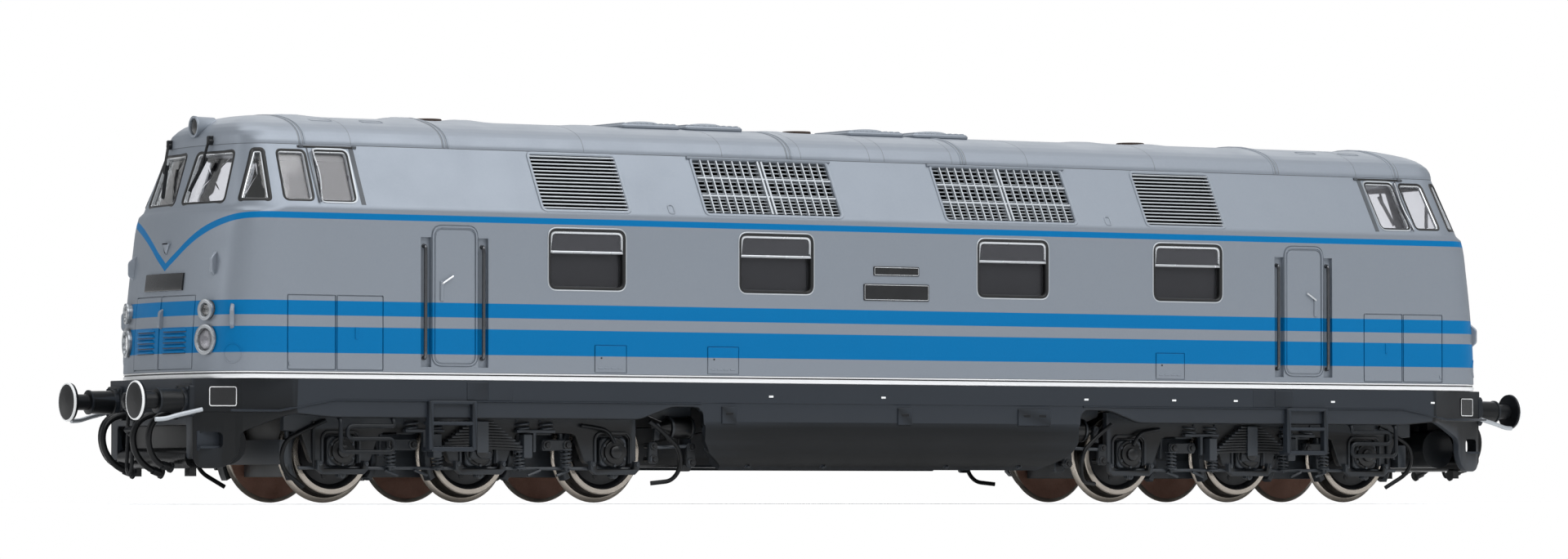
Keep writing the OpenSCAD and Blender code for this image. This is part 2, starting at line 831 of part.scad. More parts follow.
// Brake cylinders with their levers, hung under the frame in the notches beside the tank.
module brake_cylinders() {
  color("dimgray") lift() all_corners() translate([pivot_x, frame_half, 0]) {
    translate([-33.2, -5.8, 3.6]) cube([4.6, 0.8, floor_z - 3.6]);
    translate([-33.1, -4.4, 9.06]) rotate([0, 90, 0]) cylinder(r = brake_r, h = 2.6);
    translate([-30.5, -4.4, 9.06]) rotate([0, 90, 0]) cylinder(r1 = brake_r, r2 = 0.6, h = 2.4);
    translate([-33, -5.2, 8.6]) cube([3, 0.9, 0.9]);
    translate([-28.2, -4.7, 8.7]) cube([2, 0.6, 0.7]);
    translate([-32.6, -4.7, 6.6]) cube([7.2, 0.6, 0.7]);
    translate([-33.4, -5.2, 3.7]) cube([1, 1.2, 3.6]);
    for (x = [-31.8, -25.5])
      translate([x, -3.5, 0]) across(0.8) polygon([[-0.6, 4.9], [0.6, 4.9], [0.45, 7.4], [-0.45, 7.4]]);
    for (x = [-31.8, -25.5], z = [5.3, 6.9])
      translate([x, -3.5, z]) rotate([90, 0, 0]) cylinder(r = 0.45, h = 1.4, center = true);
    translate([-26.2, -3.9, 6.9]) rotate([0, -8, 0]) cube([0.9, 0.8, 2.6]);
  }
}

// ---- bogies ----

gearbox_half = back_gap / 2 - 0.9;
gearbox_top = floor_z - 0.6;
gearbox_low = 2.4;
axle_z = tread_r;
side_out = side_y + side_t;
bogie_half = axle_gap + 3.7;
end_bar_w = 1.4;
end_bar_x = axle_gap + tread_r + flange_h + 0.95;
cross_w = 2.8;

// Places a bogie; its local +X points to the locomotive's nearer end.
module at_bogie(side) {
  translate([side * pivot_x, 0, 0]) rotate([0, 0, side > 0 ? 0 : 180]) children();
}

// Copies over the three axles.
module at_axles() {
  for (k = [-1 : 1]) translate([k * axle_gap, 0, 0]) children();
}

module bogie_frame() {
  difference() {
    union() {
      translate([-axle_gap - 4.5, -gearbox_half, gearbox_low])
        cube([2 * axle_gap + 9, 2 * gearbox_half, gearbox_top - gearbox_low]);
      translate([0, 0, gearbox_top - 0.1]) cylinder(r = pivot_r + 1.5, h = floor_z - gearbox_top + 0.1);
      translate([0, 0, floor_z - 0.1]) cylinder(r = pivot_r, h = floor_t - 0.2);
      for (x = [-axle_gap / 2, axle_gap / 2])
        translate([x - cross_w / 2, -side_y, 8]) cube([cross_w, 2 * side_y, 2.4]);
      translate([end_bar_x, 0, 5.6]) cube([end_bar_w, 2 * side_y, 3.2], center = true);
      translate([axle_gap, -2, 4.6]) cube([end_bar_x - axle_gap, 4, 2]);
    }
    at_axles() translate([0, 0, axle_z])
      rotate([90, 0, 0]) cylinder(r = axle_r + run_gap, h = body_w, center = true);
  }
}

frame_top = 9.9;
foot_z = 4.2;
arch_z = 7.9;

// Outline of a bogie side: pedestals that reach down beside the axleboxes, and an
// outer end that carries on to the end bar.
side_outline = [
  [end_bar_x + end_bar_w / 2, 8.6], [end_bar_x + end_bar_w / 2, 5], [end_bar_x - end_bar_w / 2, 5],
  [bogie_half + 2, 7.4], [bogie_half, foot_z], [axle_gap - 3.7, foot_z], [axle_gap - 4.8, 6.6],
  [axle_gap - 8, arch_z], [6.2, arch_z], [3.2, foot_z], [-3.2, foot_z], [-6.2, arch_z],
  [8 - axle_gap, arch_z], [4.8 - axle_gap, 6.6], [3.7 - axle_gap, foot_z],
  [-bogie_half, foot_z], [-bogie_half, frame_top], [bogie_half + 1, frame_top]
];

module axlebox() {
  translate([0, -side_y, axle_z]) rotate([90, 0, 0]) {
    cylinder(r = 2.3, h = side_t);
    translate([0, 0, side_t - 0.2]) cylinder(r = 1.9, h = 0.7);
    translate([0, 0, side_t + 0.4]) cylinder(r = 0.9, h = 0.9);
  }
  for (s = [-1, 1]) {
    translate([s * 2.9, -side_y - side_t / 2, 4]) cube([1.2, side_t, 2.6], center = true);
    translate([s * 2.9, -side_out, 3.6]) cube([1.1, 1, 1.2], center = true);
  }
  translate([0, -side_out - 0.1, 3.1]) cube([7.2, 0.9, 0.76], center = true);
}

module bogie_sides() {
  both_sides() {
    translate([0, -side_y - side_t / 2, 0]) across(side_t) difference() {
      polygon(side_outline);
      for (k = [-1, 1]) translate([k * axle_gap, axle_z + 0.2]) rounded_rect(4.9, 5.4, 0.8);
    }
    at_axles() axlebox();
  }
}

spring_w = 1.1;
leaf_len = 13;
leaf_step = 1.9;
leaf_t = 0.6;

// Coil springs of a side: distance from the pivot, height of the foot, radius, length.
coils = [[6.2, 3.4, 0.75, 2.1], [13.3, 3.9, 0.75, 2.05], [6.6, 9.2, 0.9, 0.7], [10.2, 9.2, 0.9, 0.7]];

module bogie_springs() {
  both_sides() translate([0, -side_out - spring_w / 2, 0]) difference() {
    union() {
      for (i = [0 : leaf_n - 1])
        translate([0, 0, 6.3 + i * leaf_t])
          cube([leaf_len - i * leaf_step, spring_w, leaf_t + 0.01], center = true);
      translate([0, -0.1, 7.8]) cube([1.5, spring_w - 0.2, 4], center = true);
      for (s = [-1, 1]) {
        translate([s * 6.8, 0, 6.5]) cube([1.2, spring_w, 3], center = true);
        translate([s * 8.3, 0, 8.7]) cube([5.4, spring_w, 1], center = true);
        for (c = coils) translate([s * c[0], spring_w / 2 - c[2], c[1]]) cylinder(r = c[2], h = c[3]);
      }
    }
    translate([0, spring_w / 2, axle_z]) rotate([90, 0, 0]) cylinder(r = 1.9 + fit, h = 0.5 + fit);
    translate([0, spring_w / 2, axle_z]) rotate([90, 0, 0]) cylinder(r = 0.9 + fit, h = 2);
    translate([0, 0, 4]) cube([4.2, 4, 4], center = true);
  }
}

pipe_d = 0.7;

// Sand pipe of the outer end: down from the frame and back to the rail.
module sand_pipe() {
  translate([end_bar_x - 0.6, -side_out - pipe_d / 2, 0]) {
    translate([0, 0, 4.6]) cylinder(d = pipe_d, h = 4);
    translate([0.1, 0, 4.7]) rotate([0, -128, 0]) cylinder(d = pipe_d, h = 4.6);
  }
}

plate_w = 4.6;
shoe_gap = 0.15;
shoe_t = 0.9;
shoe_x = tread_r + shoe_gap;

// Hanging link plates between the axleboxes, brake shoes before the treads and sand pipes.
module brake_gear() {
  both_sides() {
    sand_pipe();
    for (s = [-1, 1]) translate([s * (axle_gap / 2 + 1.4), -side_out, 0]) {
      translate([0, -0.45, 6.6]) cube([plate_w, 0.9, 1.3], center = true);
      translate([0, -0.45, 7.9]) cube([1.2, 0.9, 2.2], center = true);
      for (x = [-1.6, 1.6]) translate([x, -0.85, 6.6]) rotate([90, 0, 0]) cylinder(r = 0.5, h = 0.35);
    }
  }
  both_sides() for (c = [[-1, 1], [0, -1], [0, 1], [1, -1]]) translate([c[0] * axle_gap, -9.6, 0]) {
    translate([c[1] * (shoe_x + shoe_t / 2), 0, 6.4]) cube([shoe_t, 1.5, 4], center = true);
    translate([c[1] * (axle_gap / 2 - cross_w / 2 + shoe_x) / 2, 0, 8.5])
      cube([axle_gap / 2 - cross_w / 2 - shoe_x, 1.5, 0.9], center = true);
  }
}

module front_bogie_frame() {
  color("dimgray") lift() at_bogie(-1) bogie_frame();
}

module front_bogie_sides() {
  color("dimgray") lift() at_bogie(-1) bogie_sides();
}

module front_bogie_springs() {
  color("dimgray") lift() at_bogie(-1) bogie_springs();
}

module front_brake_gear() {
  color("dimgray") lift() at_bogie(-1) brake_gear();
}

module rear_bogie_frame() {
  color("dimgray") lift() at_bogie(1) bogie_frame();
}

module rear_bogie_sides() {
  color("dimgray") lift() at_bogie(1) bogie_sides();
}

module rear_bogie_springs() {
  color("dimgray") lift() at_bogie(1) bogie_springs();
}

module rear_brake_gear() {
  color("dimgray") lift() at_bogie(1) brake_gear();
}

// ---- wheels ----

flange_t = 0.9;

module wheel() {
  rotate_extrude($fn = 64) polygon([
    [axle_r - 0.3, 0], [tread_r + flange_h - 0.3, 0], [tread_r + flange_h, 0.35],
    [tread_r + flange_h - 0.25, 0.65], [tread_r, flange_t], [tread_r - 0.08, wheel_w],
    [tread_r - 1, wheel_w], [tread_r - 1.2, wheel_w - 0.5], [1.8, wheel_w - 0.5],
    [1.6, wheel_w], [axle_r - 0.3, wheel_w]
  ]);
}

module wheelset(k) {
  bogie = k <= 3 ? -1 : 1;
  place = (k - 1) % 3 - 1;
  translate([bogie * pivot_x + place * axle_gap, 0, axle_z]) {
    rotate([90, 0, 0]) cylinder(r = axle_r, h = back_gap + 2 * wheel_w, center = true);
    both_sides() translate([0, back_gap / 2, 0]) rotate([-90, 0, 0]) wheel();
  }
}

module wheelset_1() {
  color("silver") lift() wheelset(1);
}

module wheelset_2() {
  color("silver") lift() wheelset(2);
}

module wheelset_3() {
  color("silver") lift() wheelset(3);
}

module wheelset_4() {
  color("silver") lift() wheelset(4);
}

module wheelset_5() {
  color("silver") lift() wheelset(5);
}

module wheelset_6() {
  color("silver") lift() wheelset(6);
}

body_shell();
roof();
cab_glazing();
side_window_glazing();
side_window_frames();
louvre_grilles();
mesh_grilles();
headlamps();
wipers();
door_handrails();
number_plates();
sill_strip();
underframe();
fuel_tank();
aprons();
buffers();
drawgear();
hoses();
door_steps();
climbing_loops();
roof_vents();
exhaust_stacks();
cab_interiors();
engine_block();
air_tanks();
brake_cylinders();
front_bogie_frame();
front_bogie_sides();
front_bogie_springs();
front_brake_gear();
rear_bogie_frame();
rear_bogie_sides();
rear_bogie_springs();
rear_brake_gear();
wheelset_1();
wheelset_2();
wheelset_3();
wheelset_4();
wheelset_5();
wheelset_6();
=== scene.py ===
"""Visible surfaces of a 1:87 six-axle diesel locomotive, built round its packed frame.

Lengths in this file are millimetres, and heights are counted from the rail head.  A piece
is worked out for the rear cab or the far side once and then copied to the places like it.
"""

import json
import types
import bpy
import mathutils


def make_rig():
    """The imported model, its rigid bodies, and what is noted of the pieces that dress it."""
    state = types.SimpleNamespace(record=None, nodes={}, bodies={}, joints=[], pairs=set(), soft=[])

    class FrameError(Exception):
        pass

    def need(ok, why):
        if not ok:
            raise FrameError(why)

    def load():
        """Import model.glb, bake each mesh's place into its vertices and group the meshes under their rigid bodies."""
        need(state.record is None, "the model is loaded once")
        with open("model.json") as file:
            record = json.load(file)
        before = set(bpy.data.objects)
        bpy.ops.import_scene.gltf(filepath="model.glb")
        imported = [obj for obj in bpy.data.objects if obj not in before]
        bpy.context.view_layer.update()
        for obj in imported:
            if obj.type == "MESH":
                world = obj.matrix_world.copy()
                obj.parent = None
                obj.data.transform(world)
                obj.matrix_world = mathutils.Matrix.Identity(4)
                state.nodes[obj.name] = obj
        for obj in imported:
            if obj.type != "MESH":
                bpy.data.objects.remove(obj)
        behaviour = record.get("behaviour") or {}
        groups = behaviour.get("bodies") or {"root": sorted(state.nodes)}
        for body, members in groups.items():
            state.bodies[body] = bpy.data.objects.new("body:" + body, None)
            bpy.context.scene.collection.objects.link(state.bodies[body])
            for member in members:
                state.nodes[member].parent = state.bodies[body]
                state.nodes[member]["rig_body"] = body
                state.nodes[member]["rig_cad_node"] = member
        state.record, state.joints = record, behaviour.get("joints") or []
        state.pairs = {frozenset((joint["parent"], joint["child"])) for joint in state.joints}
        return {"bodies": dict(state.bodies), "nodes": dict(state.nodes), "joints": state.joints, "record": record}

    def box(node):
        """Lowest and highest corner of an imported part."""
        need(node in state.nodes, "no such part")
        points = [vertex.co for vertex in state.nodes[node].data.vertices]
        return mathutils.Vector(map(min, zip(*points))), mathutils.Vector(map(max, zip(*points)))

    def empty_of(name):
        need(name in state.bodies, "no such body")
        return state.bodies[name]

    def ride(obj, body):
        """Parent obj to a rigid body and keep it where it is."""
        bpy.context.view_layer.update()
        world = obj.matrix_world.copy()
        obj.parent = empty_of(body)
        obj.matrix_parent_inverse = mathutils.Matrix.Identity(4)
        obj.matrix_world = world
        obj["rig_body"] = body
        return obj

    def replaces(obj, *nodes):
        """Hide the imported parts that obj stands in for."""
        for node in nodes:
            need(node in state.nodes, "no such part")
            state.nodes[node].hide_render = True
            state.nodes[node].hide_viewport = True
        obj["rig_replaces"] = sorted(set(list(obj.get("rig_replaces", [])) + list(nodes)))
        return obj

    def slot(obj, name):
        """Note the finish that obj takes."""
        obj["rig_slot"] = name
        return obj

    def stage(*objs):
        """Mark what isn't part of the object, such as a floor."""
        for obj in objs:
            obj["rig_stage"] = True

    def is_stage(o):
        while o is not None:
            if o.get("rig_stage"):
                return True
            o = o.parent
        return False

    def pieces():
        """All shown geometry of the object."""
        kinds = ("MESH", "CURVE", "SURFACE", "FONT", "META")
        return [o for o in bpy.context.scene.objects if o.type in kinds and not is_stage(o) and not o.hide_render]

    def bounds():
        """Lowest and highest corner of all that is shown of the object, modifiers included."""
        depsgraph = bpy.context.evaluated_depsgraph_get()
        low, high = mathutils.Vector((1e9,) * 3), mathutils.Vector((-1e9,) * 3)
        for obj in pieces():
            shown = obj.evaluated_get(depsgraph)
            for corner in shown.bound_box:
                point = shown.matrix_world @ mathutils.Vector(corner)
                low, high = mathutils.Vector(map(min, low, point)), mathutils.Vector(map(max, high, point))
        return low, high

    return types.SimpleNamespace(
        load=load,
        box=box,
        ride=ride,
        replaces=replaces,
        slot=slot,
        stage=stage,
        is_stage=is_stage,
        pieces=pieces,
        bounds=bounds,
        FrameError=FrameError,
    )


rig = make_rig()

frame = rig.load()
CAD_BOX = [list(map(float, corner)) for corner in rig.bounds()]

import json
import math

import bmesh
import bpy
import numpy as np
from bpy.props import FloatProperty, PointerProperty, StringProperty
from mathutils import Euler

bl_info = {
    "name": "Six-axle diesel locomotive model",
    "version": (1, 0, 0),
    "blender": (4, 5, 0),
    "location": "View3D > Sidebar > Locomotive",
    "description": "Surfaces and finishes of a 1:87 six-axle diesel locomotive",
    "category": "Object",
}

MM = 0.001
AXES = {"x": (1, 0, 0), "y": (0, 1, 0), "z": (0, 0, 1)}


def node_box(node):
    """Lowest and highest corner of a CAD node in millimetres, as arrays."""
    low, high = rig.box(node)
    return np.array(low) / MM, np.array(high) / MM


SHELL_LOW, SHELL_HIGH = node_box("body_shell")
SILL = 16.05
RAIL = SHELL_LOW[2] - SILL
NOSE = SHELL_HIGH[0]
HALF = SHELL_HIGH[1]
WAIST = 37.4
EAVES = SHELL_HIGH[2] - RAIL
CROWN = node_box("roof")[1][2] - RAIL
WAIST_HALF = HALF - 0.09
EAVES_HALF = WAIST_HALF - 4.77
LEAN = (WAIST_HALF - EAVES_HALF) / (EAVES - WAIST)
RAKE = 2.2
ROOF_BACK = RAKE + 0.4 + 2.7
BEAM = NOSE + 1
STRIP = SILL - 0.97
FLOOR = STRIP - 1.6
FRAME_HALF = HALF - 0.1
PIVOT = 62.5
AXLE_GAP = 20.55
TREAD = 5.75
SIDE_OUT = 12.5

# ---------------- surfaces


def unit(vectors):
    """Each vector divided by its own length."""
    return vectors / np.linalg.norm(vectors, axis=-1, keepdims=True)


def grid_quads(rows, cols, wrap_rows, wrap_cols):
    """Quads between neighbours of a grid, closed in either direction."""
    r = np.arange(rows if wrap_rows else rows - 1)[:, None]
    c = np.arange(cols if wrap_cols else cols - 1)[None, :]
    up, over = (r + 1) % rows, (c + 1) % cols
    return np.stack([r * cols + c, r * cols + over, up * cols + over, up * cols + c], -1).reshape(-1, 4)


def outward(verts, faces, paint):
    """Turns every face round if the sum of signed tetrahedra says the skin is inside out."""
    volume = 0.0
    for size in {len(f) for f in faces}:
        f = np.array([g for g in faces if len(g) == size])
        for k in range(1, size - 1):
            a, b, c = verts[f[:, 0]], verts[f[:, k]], verts[f[:, k + 1]]
            volume += np.einsum("ij,ij->", a, np.cross(b, c))
    if volume < 0:
        faces = [g[::-1] for g in faces]
    return verts, faces, paint


def closed(grid, paint, wrap_rows=False):
    """A closed skin from rows of rings; open ends get a flat cap."""
    rows, cols = grid.shape[:2]
    faces = grid_quads(rows, cols, wrap_rows, True).tolist()
    if not wrap_rows:
        faces += [list(range(cols))[::-1], list(range((rows - 1) * cols, rows * cols))]
    return outward(grid.reshape(-1, 3), faces, paint)


def shrink(outline, by):
    """The outline moved inwards by a distance, along the mitre of each corner."""
    back = unit(outline - np.roll(outline, 1, 0))
    ahead = unit(np.roll(outline, -1, 0) - outline)
    area = np.sum(outline[:, 0] * np.roll(outline[:, 1], -1) - outline[:, 1] * np.roll(outline[:, 0], -1))
    turn_left = np.array([[0.0, 1.0], [-1.0, 0.0]]) * (1 if area > 0 else -1)
    inward = (back + ahead) @ turn_left
    inward = unit(inward + 1e-12)
    cosine = np.clip(np.einsum("ij,ij->i", inward, back @ turn_left), 0.4, 1)
    return outline + inward * (by / cosine)[:, None]


def stand(points, axis, along):
    """Two plane coordinates and a depth put on the axes: depth lies along the named axis."""
    a, b = points[..., 0], points[..., 1]
    d = np.broadcast_to(along, a.shape)
    return np.stack({"x": (d, a, b), "y": (a, d, b), "z": (a, b, d)}[axis], -1)


def plate(outline, low, high, axis, paint, edge=0.06):
    """An outline carried from low to high along an axis, with a small bevel on both rims."""
    outline = np.asarray(outline, float)
    edge = min(edge, abs(high - low) * 0.45)
    inner = shrink(outline, edge)
    rows = [(inner, low), (outline, low + edge), (outline, high - edge), (inner, high)]
    return closed(np.stack([stand(o, axis, d) for o, d in rows]), paint)


def rect(x0, y0, x1, y1):
    """Corners of a rectangle."""
    return np.array([[x0, y0], [x1, y0], [x1, y1], [x0, y1]], float)


def block(x, y, z, paint, edge=0.06):
    """A bevelled block between two limits on each axis."""
    return plate(rect(x[0], y[0], x[1], y[1]), z[0], z[1], "z", paint, edge)


def rounded(points, radius, steps=5):
    """A closed outline with each corner replaced by a curve that starts radius before it."""
    p = np.asarray(points, float)
    back = np.roll(p, 1, 0) - p
    ahead = np.roll(p, -1, 0) - p
    lb, la = np.linalg.norm(back, axis=1), np.linalg.norm(ahead, axis=1)
    r = np.minimum(radius, 0.49 * np.minimum(lb, la))[:, None]
    start, end = p + back / lb[:, None] * r, p + ahead / la[:, None] * r
    t = np.linspace(0, 1, steps + 1)[None, :, None]
    curve = (1 - t) ** 2 * start[:, None] + 2 * t * (1 - t) * p[:, None] + t ** 2 * end[:, None]
    return curve.reshape(-1, p.shape[1])


def oblong(cx, cy, w, h, r, steps=5):
    """A rectangle about a centre with rounded corners."""
    return rounded(rect(cx - w / 2, cy - h / 2, cx + w / 2, cy + h / 2), r, steps)


def soften(path, radius, steps=5):
    """An open path with each inner corner replaced by a short curve."""
    p = np.asarray(path, float)
    if len(p) < 3 or radius <= 0:
        return p
    inner = p[1:-1]
    back, ahead = p[:-2] - inner, p[2:] - inner
    lb, la = np.linalg.norm(back, axis=1), np.linalg.norm(ahead, axis=1)
    r = np.minimum(radius, 0.49 * np.minimum(lb, la))[:, None]
    start, end = inner + back / lb[:, None] * r, inner + ahead / la[:, None] * r
    t = np.linspace(0, 1, steps + 1)[None, :, None]
    curve = (1 - t) ** 2 * start[:, None] + 2 * t * (1 - t) * inner[:, None] + t ** 2 * end[:, None]
    return np.concatenate([p[:1], curve.reshape(-1, 3), p[-1:]])


def carry(profile, path, normals, paint, ring=False):
    """A closed profile carried along a path: point = path + a * side + b * normal."""
    path = np.asarray(path, float)
    profile = np.asarray(profile, float)
    run = np.roll(path, -1, 0) - np.roll(path, 1, 0) if ring else np.gradient(path, axis=0)
    run = unit(run)
    normals = np.broadcast_to(np.asarray(normals, float), path.shape)
    normals = unit(normals - np.sum(normals * run, -1, keepdims=True) * run)
    side = np.cross(run, normals)
    grid = path[:, None] + profile[None, :, :1] * side[:, None] + profile[None, :, 1:] * normals[:, None]
    return closed(grid, paint, ring)


def circle(radius, sides):
    """Points of a circle."""
    t = np.arange(sides) * 2 * np.pi / sides
    return np.stack([radius * np.cos(t), radius * np.sin(t)], -1)


def tube(path, radius, paint, bend=0.0, sides=8):
    """A circle carried along a path whose corners are rounded first."""
    path = soften(path, bend)
    normal = np.zeros(3)
    normal[int(np.argmin(np.ptp(path, axis=0)))] = 1.0
    return carry(circle(radius, sides), path, normal + 1e-4, paint)


def turn(profile, centre, axis, paint, sides=24):
    """A profile of (along, radius) pairs turned once about an axis through a centre."""
    axis = unit(np.array(AXES[axis] if isinstance(axis, str) else axis, float))
    first = unit(np.cross(axis, [0.31, 0.17, 0.93]))
    second = np.cross(axis, first)
    t = np.arange(sides) * 2 * np.pi / sides
    spoke = np.cos(t)[:, None] * first + np.sin(t)[:, None] * second
    profile = np.asarray(profile, float)
    grid = np.asarray(centre, float) + profile[:, None, :1] * axis + profile[:, None, 1:] * spoke
    return closed(grid, paint)


def coil(centre, radius, wire, low, high, turns, paint):
    """Wire carried round an upright helix between two heights."""
    t = np.linspace(0, 1, int(turns * 12) + 1)
    a = t * turns * 2 * np.pi
    path = np.stack([centre[0] + radius * np.cos(a), centre[1] + radius * np.sin(a), low + (high - low) * t],
                    -1)
    return carry(circle(wire, 6), path, (0, 0, 1), paint)


def copies(solids, ends=True, sides=True):
    """Solids with their mirror images across the middle and their half turns about the centre."""
    out = list(solids)
    if sides:
        out += [(v * [1, -1, 1], [f[::-1] for f in fs], p) for v, fs, p in out]
    if ends:
        out += [(v * [-1, -1, 1], fs, p) for v, fs, p in out]
    return out


# ---------------- the body's own surface

# Height, setback of the nose, half width, bow of the nose and radius of its corner.
BODY_TABLE = np.array([
    [SILL, 0, HALF, 1.65, 5.6], [SILL + 5, 0.07 * RAKE, HALF, 1.65, 5.6],
    [SILL + 10, 0.27 * RAKE, HALF, 1.65, 5.6], [SILL + 16, 0.6 * RAKE, HALF - 0.03, 1.65, 5.6],
    [WAIST - 1.6, 0.86 * RAKE, HALF - 0.06, 1.65, 5.6], [WAIST - 0.6, RAKE, HALF - 0.07, 1.65, 5.6],
    [WAIST, RAKE + 0.4, WAIST_HALF, 1.65, 6.6], [EAVES, ROOF_BACK, EAVES_HALF, 1.05, 3.9],
])


def body_level(z):
    """Setback, half width, bow and corner radius at heights, straight between the table's rows."""
    return np.stack([np.interp(z, BODY_TABLE[:, 0], BODY_TABLE[:, k]) for k in range(1, 5)], -1)


def quarter(level, inset, bow_steps=10, arc_steps=14, side_steps=1):
    """Outline from the nose's middle to mid-length: a parabola, a quarter arc, a straight side."""
    setback, half, bow, radius = level
    half, radius, tip = half - inset, max(0.2, radius - inset), NOSE - setback - inset
    straight = half - radius
    bow = min(bow, half * 0.4)
    first = math.atan(2 * bow / max(straight, 0.2))
    join = straight + radius * math.sin(first)
    centre = tip - bow - radius * math.cos(first)
    y = join * np.arange(bow_steps) / bow_steps
    t = first + (np.pi / 2 - first) * np.arange(arc_steps + 1) / arc_steps
    x = centre * (1 - np.arange(1, side_steps + 1) / side_steps)
    return np.concatenate([
        np.stack([tip - bow * (y / join) ** 2, y], -1),
        np.stack([centre + radius * np.cos(t), straight + radius * np.sin(t)], -1),
        np.stack([x, np.full_like(x, half)], -1),
    ])


def full_ring(q):
    """Four mirrored copies of a quarter, anticlockwise."""
    return np.concatenate([q, q[::-1][1:] * [-1, 1], q[1:] * [-1, -1], q[::-1][1:-1] * [1, -1]])


def inside_body(points):
    """True where a point lies inside the body's outline at its own height."""
    x, y, z = np.abs(points[..., 0]), np.abs(points[..., 1]), points[..., 2]
    setback, half, bow, radius = np.moveaxis(body_level(z), -1, 0)
    straight = half - radius
    first = np.arctan(2 * bow / straight)
    join = straight + radius * np.sin(first)
    tip = NOSE - setback
    centre = tip - bow - radius * np.cos(first)
    in_bow = (y <= join) & (x <= tip - bow * (y / join) ** 2)
    in_arc = (y > join) & (x > centre) & ((x - centre) ** 2 + (y - straight) ** 2 <= radius ** 2)
    in_side = (y > join) & (x <= centre) & (y <= half)
    return in_bow | in_arc | in_side


def on_skin(points, look, inset=0.0):
    """Where lines from points along a direction leave the body, found by halving, then sunk."""
    look = np.asarray(look, float)
    look = look / np.linalg.norm(look)
    low, high = np.zeros(points.shape[:-1]), np.full(points.shape[:-1], 40.0)
    for _ in range(34):
        middle = (low + high) / 2
        ok = inside_body(points + middle[..., None] * look)
        low, high = np.where(ok, middle, low), np.where(ok, high, middle)
    return points + (low - inset)[..., None] * look


def skin_normals(points, look):
    """Outward normals by the cross product of two short steps over the skin."""
    look = np.asarray(look, float) / np.linalg.norm(look)
    across = unit(np.cross([0.0, 0.0, 1.0], look))
    step = 0.05
    base = points - 6 * look
    right = on_skin(base + step * across, look) - on_skin(base - step * across, look)
    up = on_skin(base + [0, 0, step], look) - on_skin(base - [0, 0, step], look)
    n = unit(np.cross(right, up))
    return n * np.sign(n @ look)[..., None]


# Directions in which the openings look, with an anchor from which (across, height) is counted.
LOOKS = {
    "front": ((1, 0, 0), (NOSE - 20, 0, 0)),
    "side": ((0, 1, 0), (0, 2, 0)),
    "corner": ((1, 1, 0), (NOSE - 6.5 - 4, HALF - 2.55 - 4, 0)),
}


def look_points(outline, look):
    """Plane coordinates (across, height) as points before the skin, in one of the looks."""
    direction, anchor = LOOKS[look]
    direction = np.array(direction, float) / np.linalg.norm(direction)
    across = {"front": (0, 1, 0), "side": (1, 0, 0), "corner": (-math.sqrt(0.5), math.sqrt(0.5), 0)}[look]
    outline = np.asarray(outline, float)
    base = np.array(anchor, float) + outline[..., :1] * np.array(across) + outline[..., 1:] * [0, 0, 1]
    return base, direction


def bead(outline, look, profile, paint):
    """A profile carried round a closed outline that lies on the body's skin."""
    base, direction = look_points(outline, look)
    path = on_skin(base, direction)
    return carry(profile, path, skin_normals(path, direction), paint, ring=True)


def pane(outline, look, inset, thick, paint, rings=4):
    """A clear slab under the skin: rings from the outline's middle, front and back, joined."""
    outline = np.asarray(outline, float)
    middle = outline.mean(0)
    t = np.linspace(0.02, 1, rings)[:, None, None]
    flat = middle + (outline - middle)[None] * t
    base, direction = look_points(flat, look)
    front, back = on_skin(base, direction, inset), on_skin(base, direction, inset + thick)
    return closed(np.concatenate([front, back[::-1]]), paint)


def opening(outline, look, near=-9.0, far=9.0):
    """A prism through the skin for cutting, along one of the looks."""
    base, direction = look_points(outline, look)
    path = on_skin(base, direction)
    middle = path.mean(0) @ direction
    flat = path - (path @ direction - middle)[:, None] * direction
    return closed(np.stack([flat + near * direction, flat + far * direction]), "inside")


WINDOW_LOW, WINDOW_HIGH = WAIST + 0.75, EAVES - 0.75
FRONT_SCREEN = rounded([[0.95, WAIST + 0.5], [11.1, WAIST + 0.5], [10.1, EAVES - 0.85], [1.4, EAVES - 0.85]],
                       0.9)
CAB_WINDOWS = [
    rounded([[NOSE - 9.75, WINDOW_LOW], [NOSE - 14.2, WINDOW_LOW],
             [NOSE - 14.7, WINDOW_HIGH], [NOSE - 10.4, WINDOW_HIGH]], 0.8),
    rounded([[NOSE - 15.1, WINDOW_LOW], [NOSE - 20.3, WINDOW_LOW],
             [NOSE - 20.8, WINDOW_HIGH], [NOSE - 15.7, WINDOW_HIGH]], 0.8),
]
CORNER_WINDOW = rounded([[-2.3, WINDOW_LOW - 0.1], [2.3, WINDOW_LOW - 0.1],
                         [0.15, WINDOW_HIGH + 0.1], [-1.45, WINDOW_HIGH + 0.1]], 0.55)
ENGINE_WINDOW_XS = (-48.74, -19.2, 19.2, 48.74)
ENGINE_WINDOW = (11.7, 8.0, 27.25)
LOUVRE_X, LOUVRE_W, MESH_X, MESH_W = 48.66, 13.3, 19.28, 21.6
DOOR_X = 68.8
PANEL = math.hypot(EAVES - WAIST, WAIST_HALF - EAVES_HALF)


def panel_frame(x):
    """Origin and the three directions of the leaning side panel on the +Y side: along, up, out."""
    up = np.array([0, EAVES_HALF - WAIST_HALF, EAVES - WAIST]) / PANEL
    return np.array([x, WAIST_HALF, WAIST]), np.array([1.0, 0, 0]), up, np.array([0, up[2], -up[1]])


def on_panel(solids, x):
    """Solids drawn in (along, out, up) moved onto the leaning side panel."""
    origin, along, up, out = panel_frame(x)
    return [(origin + v[:, :1] * along + v[:, 1:2] * out + v[:, 2:] * up, f, p) for v, f, p in solids]


# ---------------- materials


def linear(hex_colour):
    """sRGB hex to linear RGBA."""
    raw = np.array([int(hex_colour[i:i + 2], 16) / 255 for i in (1, 3, 5)])
    low = raw / 12.92
    high = ((raw + 0.055) / 1.055) ** 2.4
    return (*np.where(raw <= 0.04045, low, high).tolist(), 1.0)


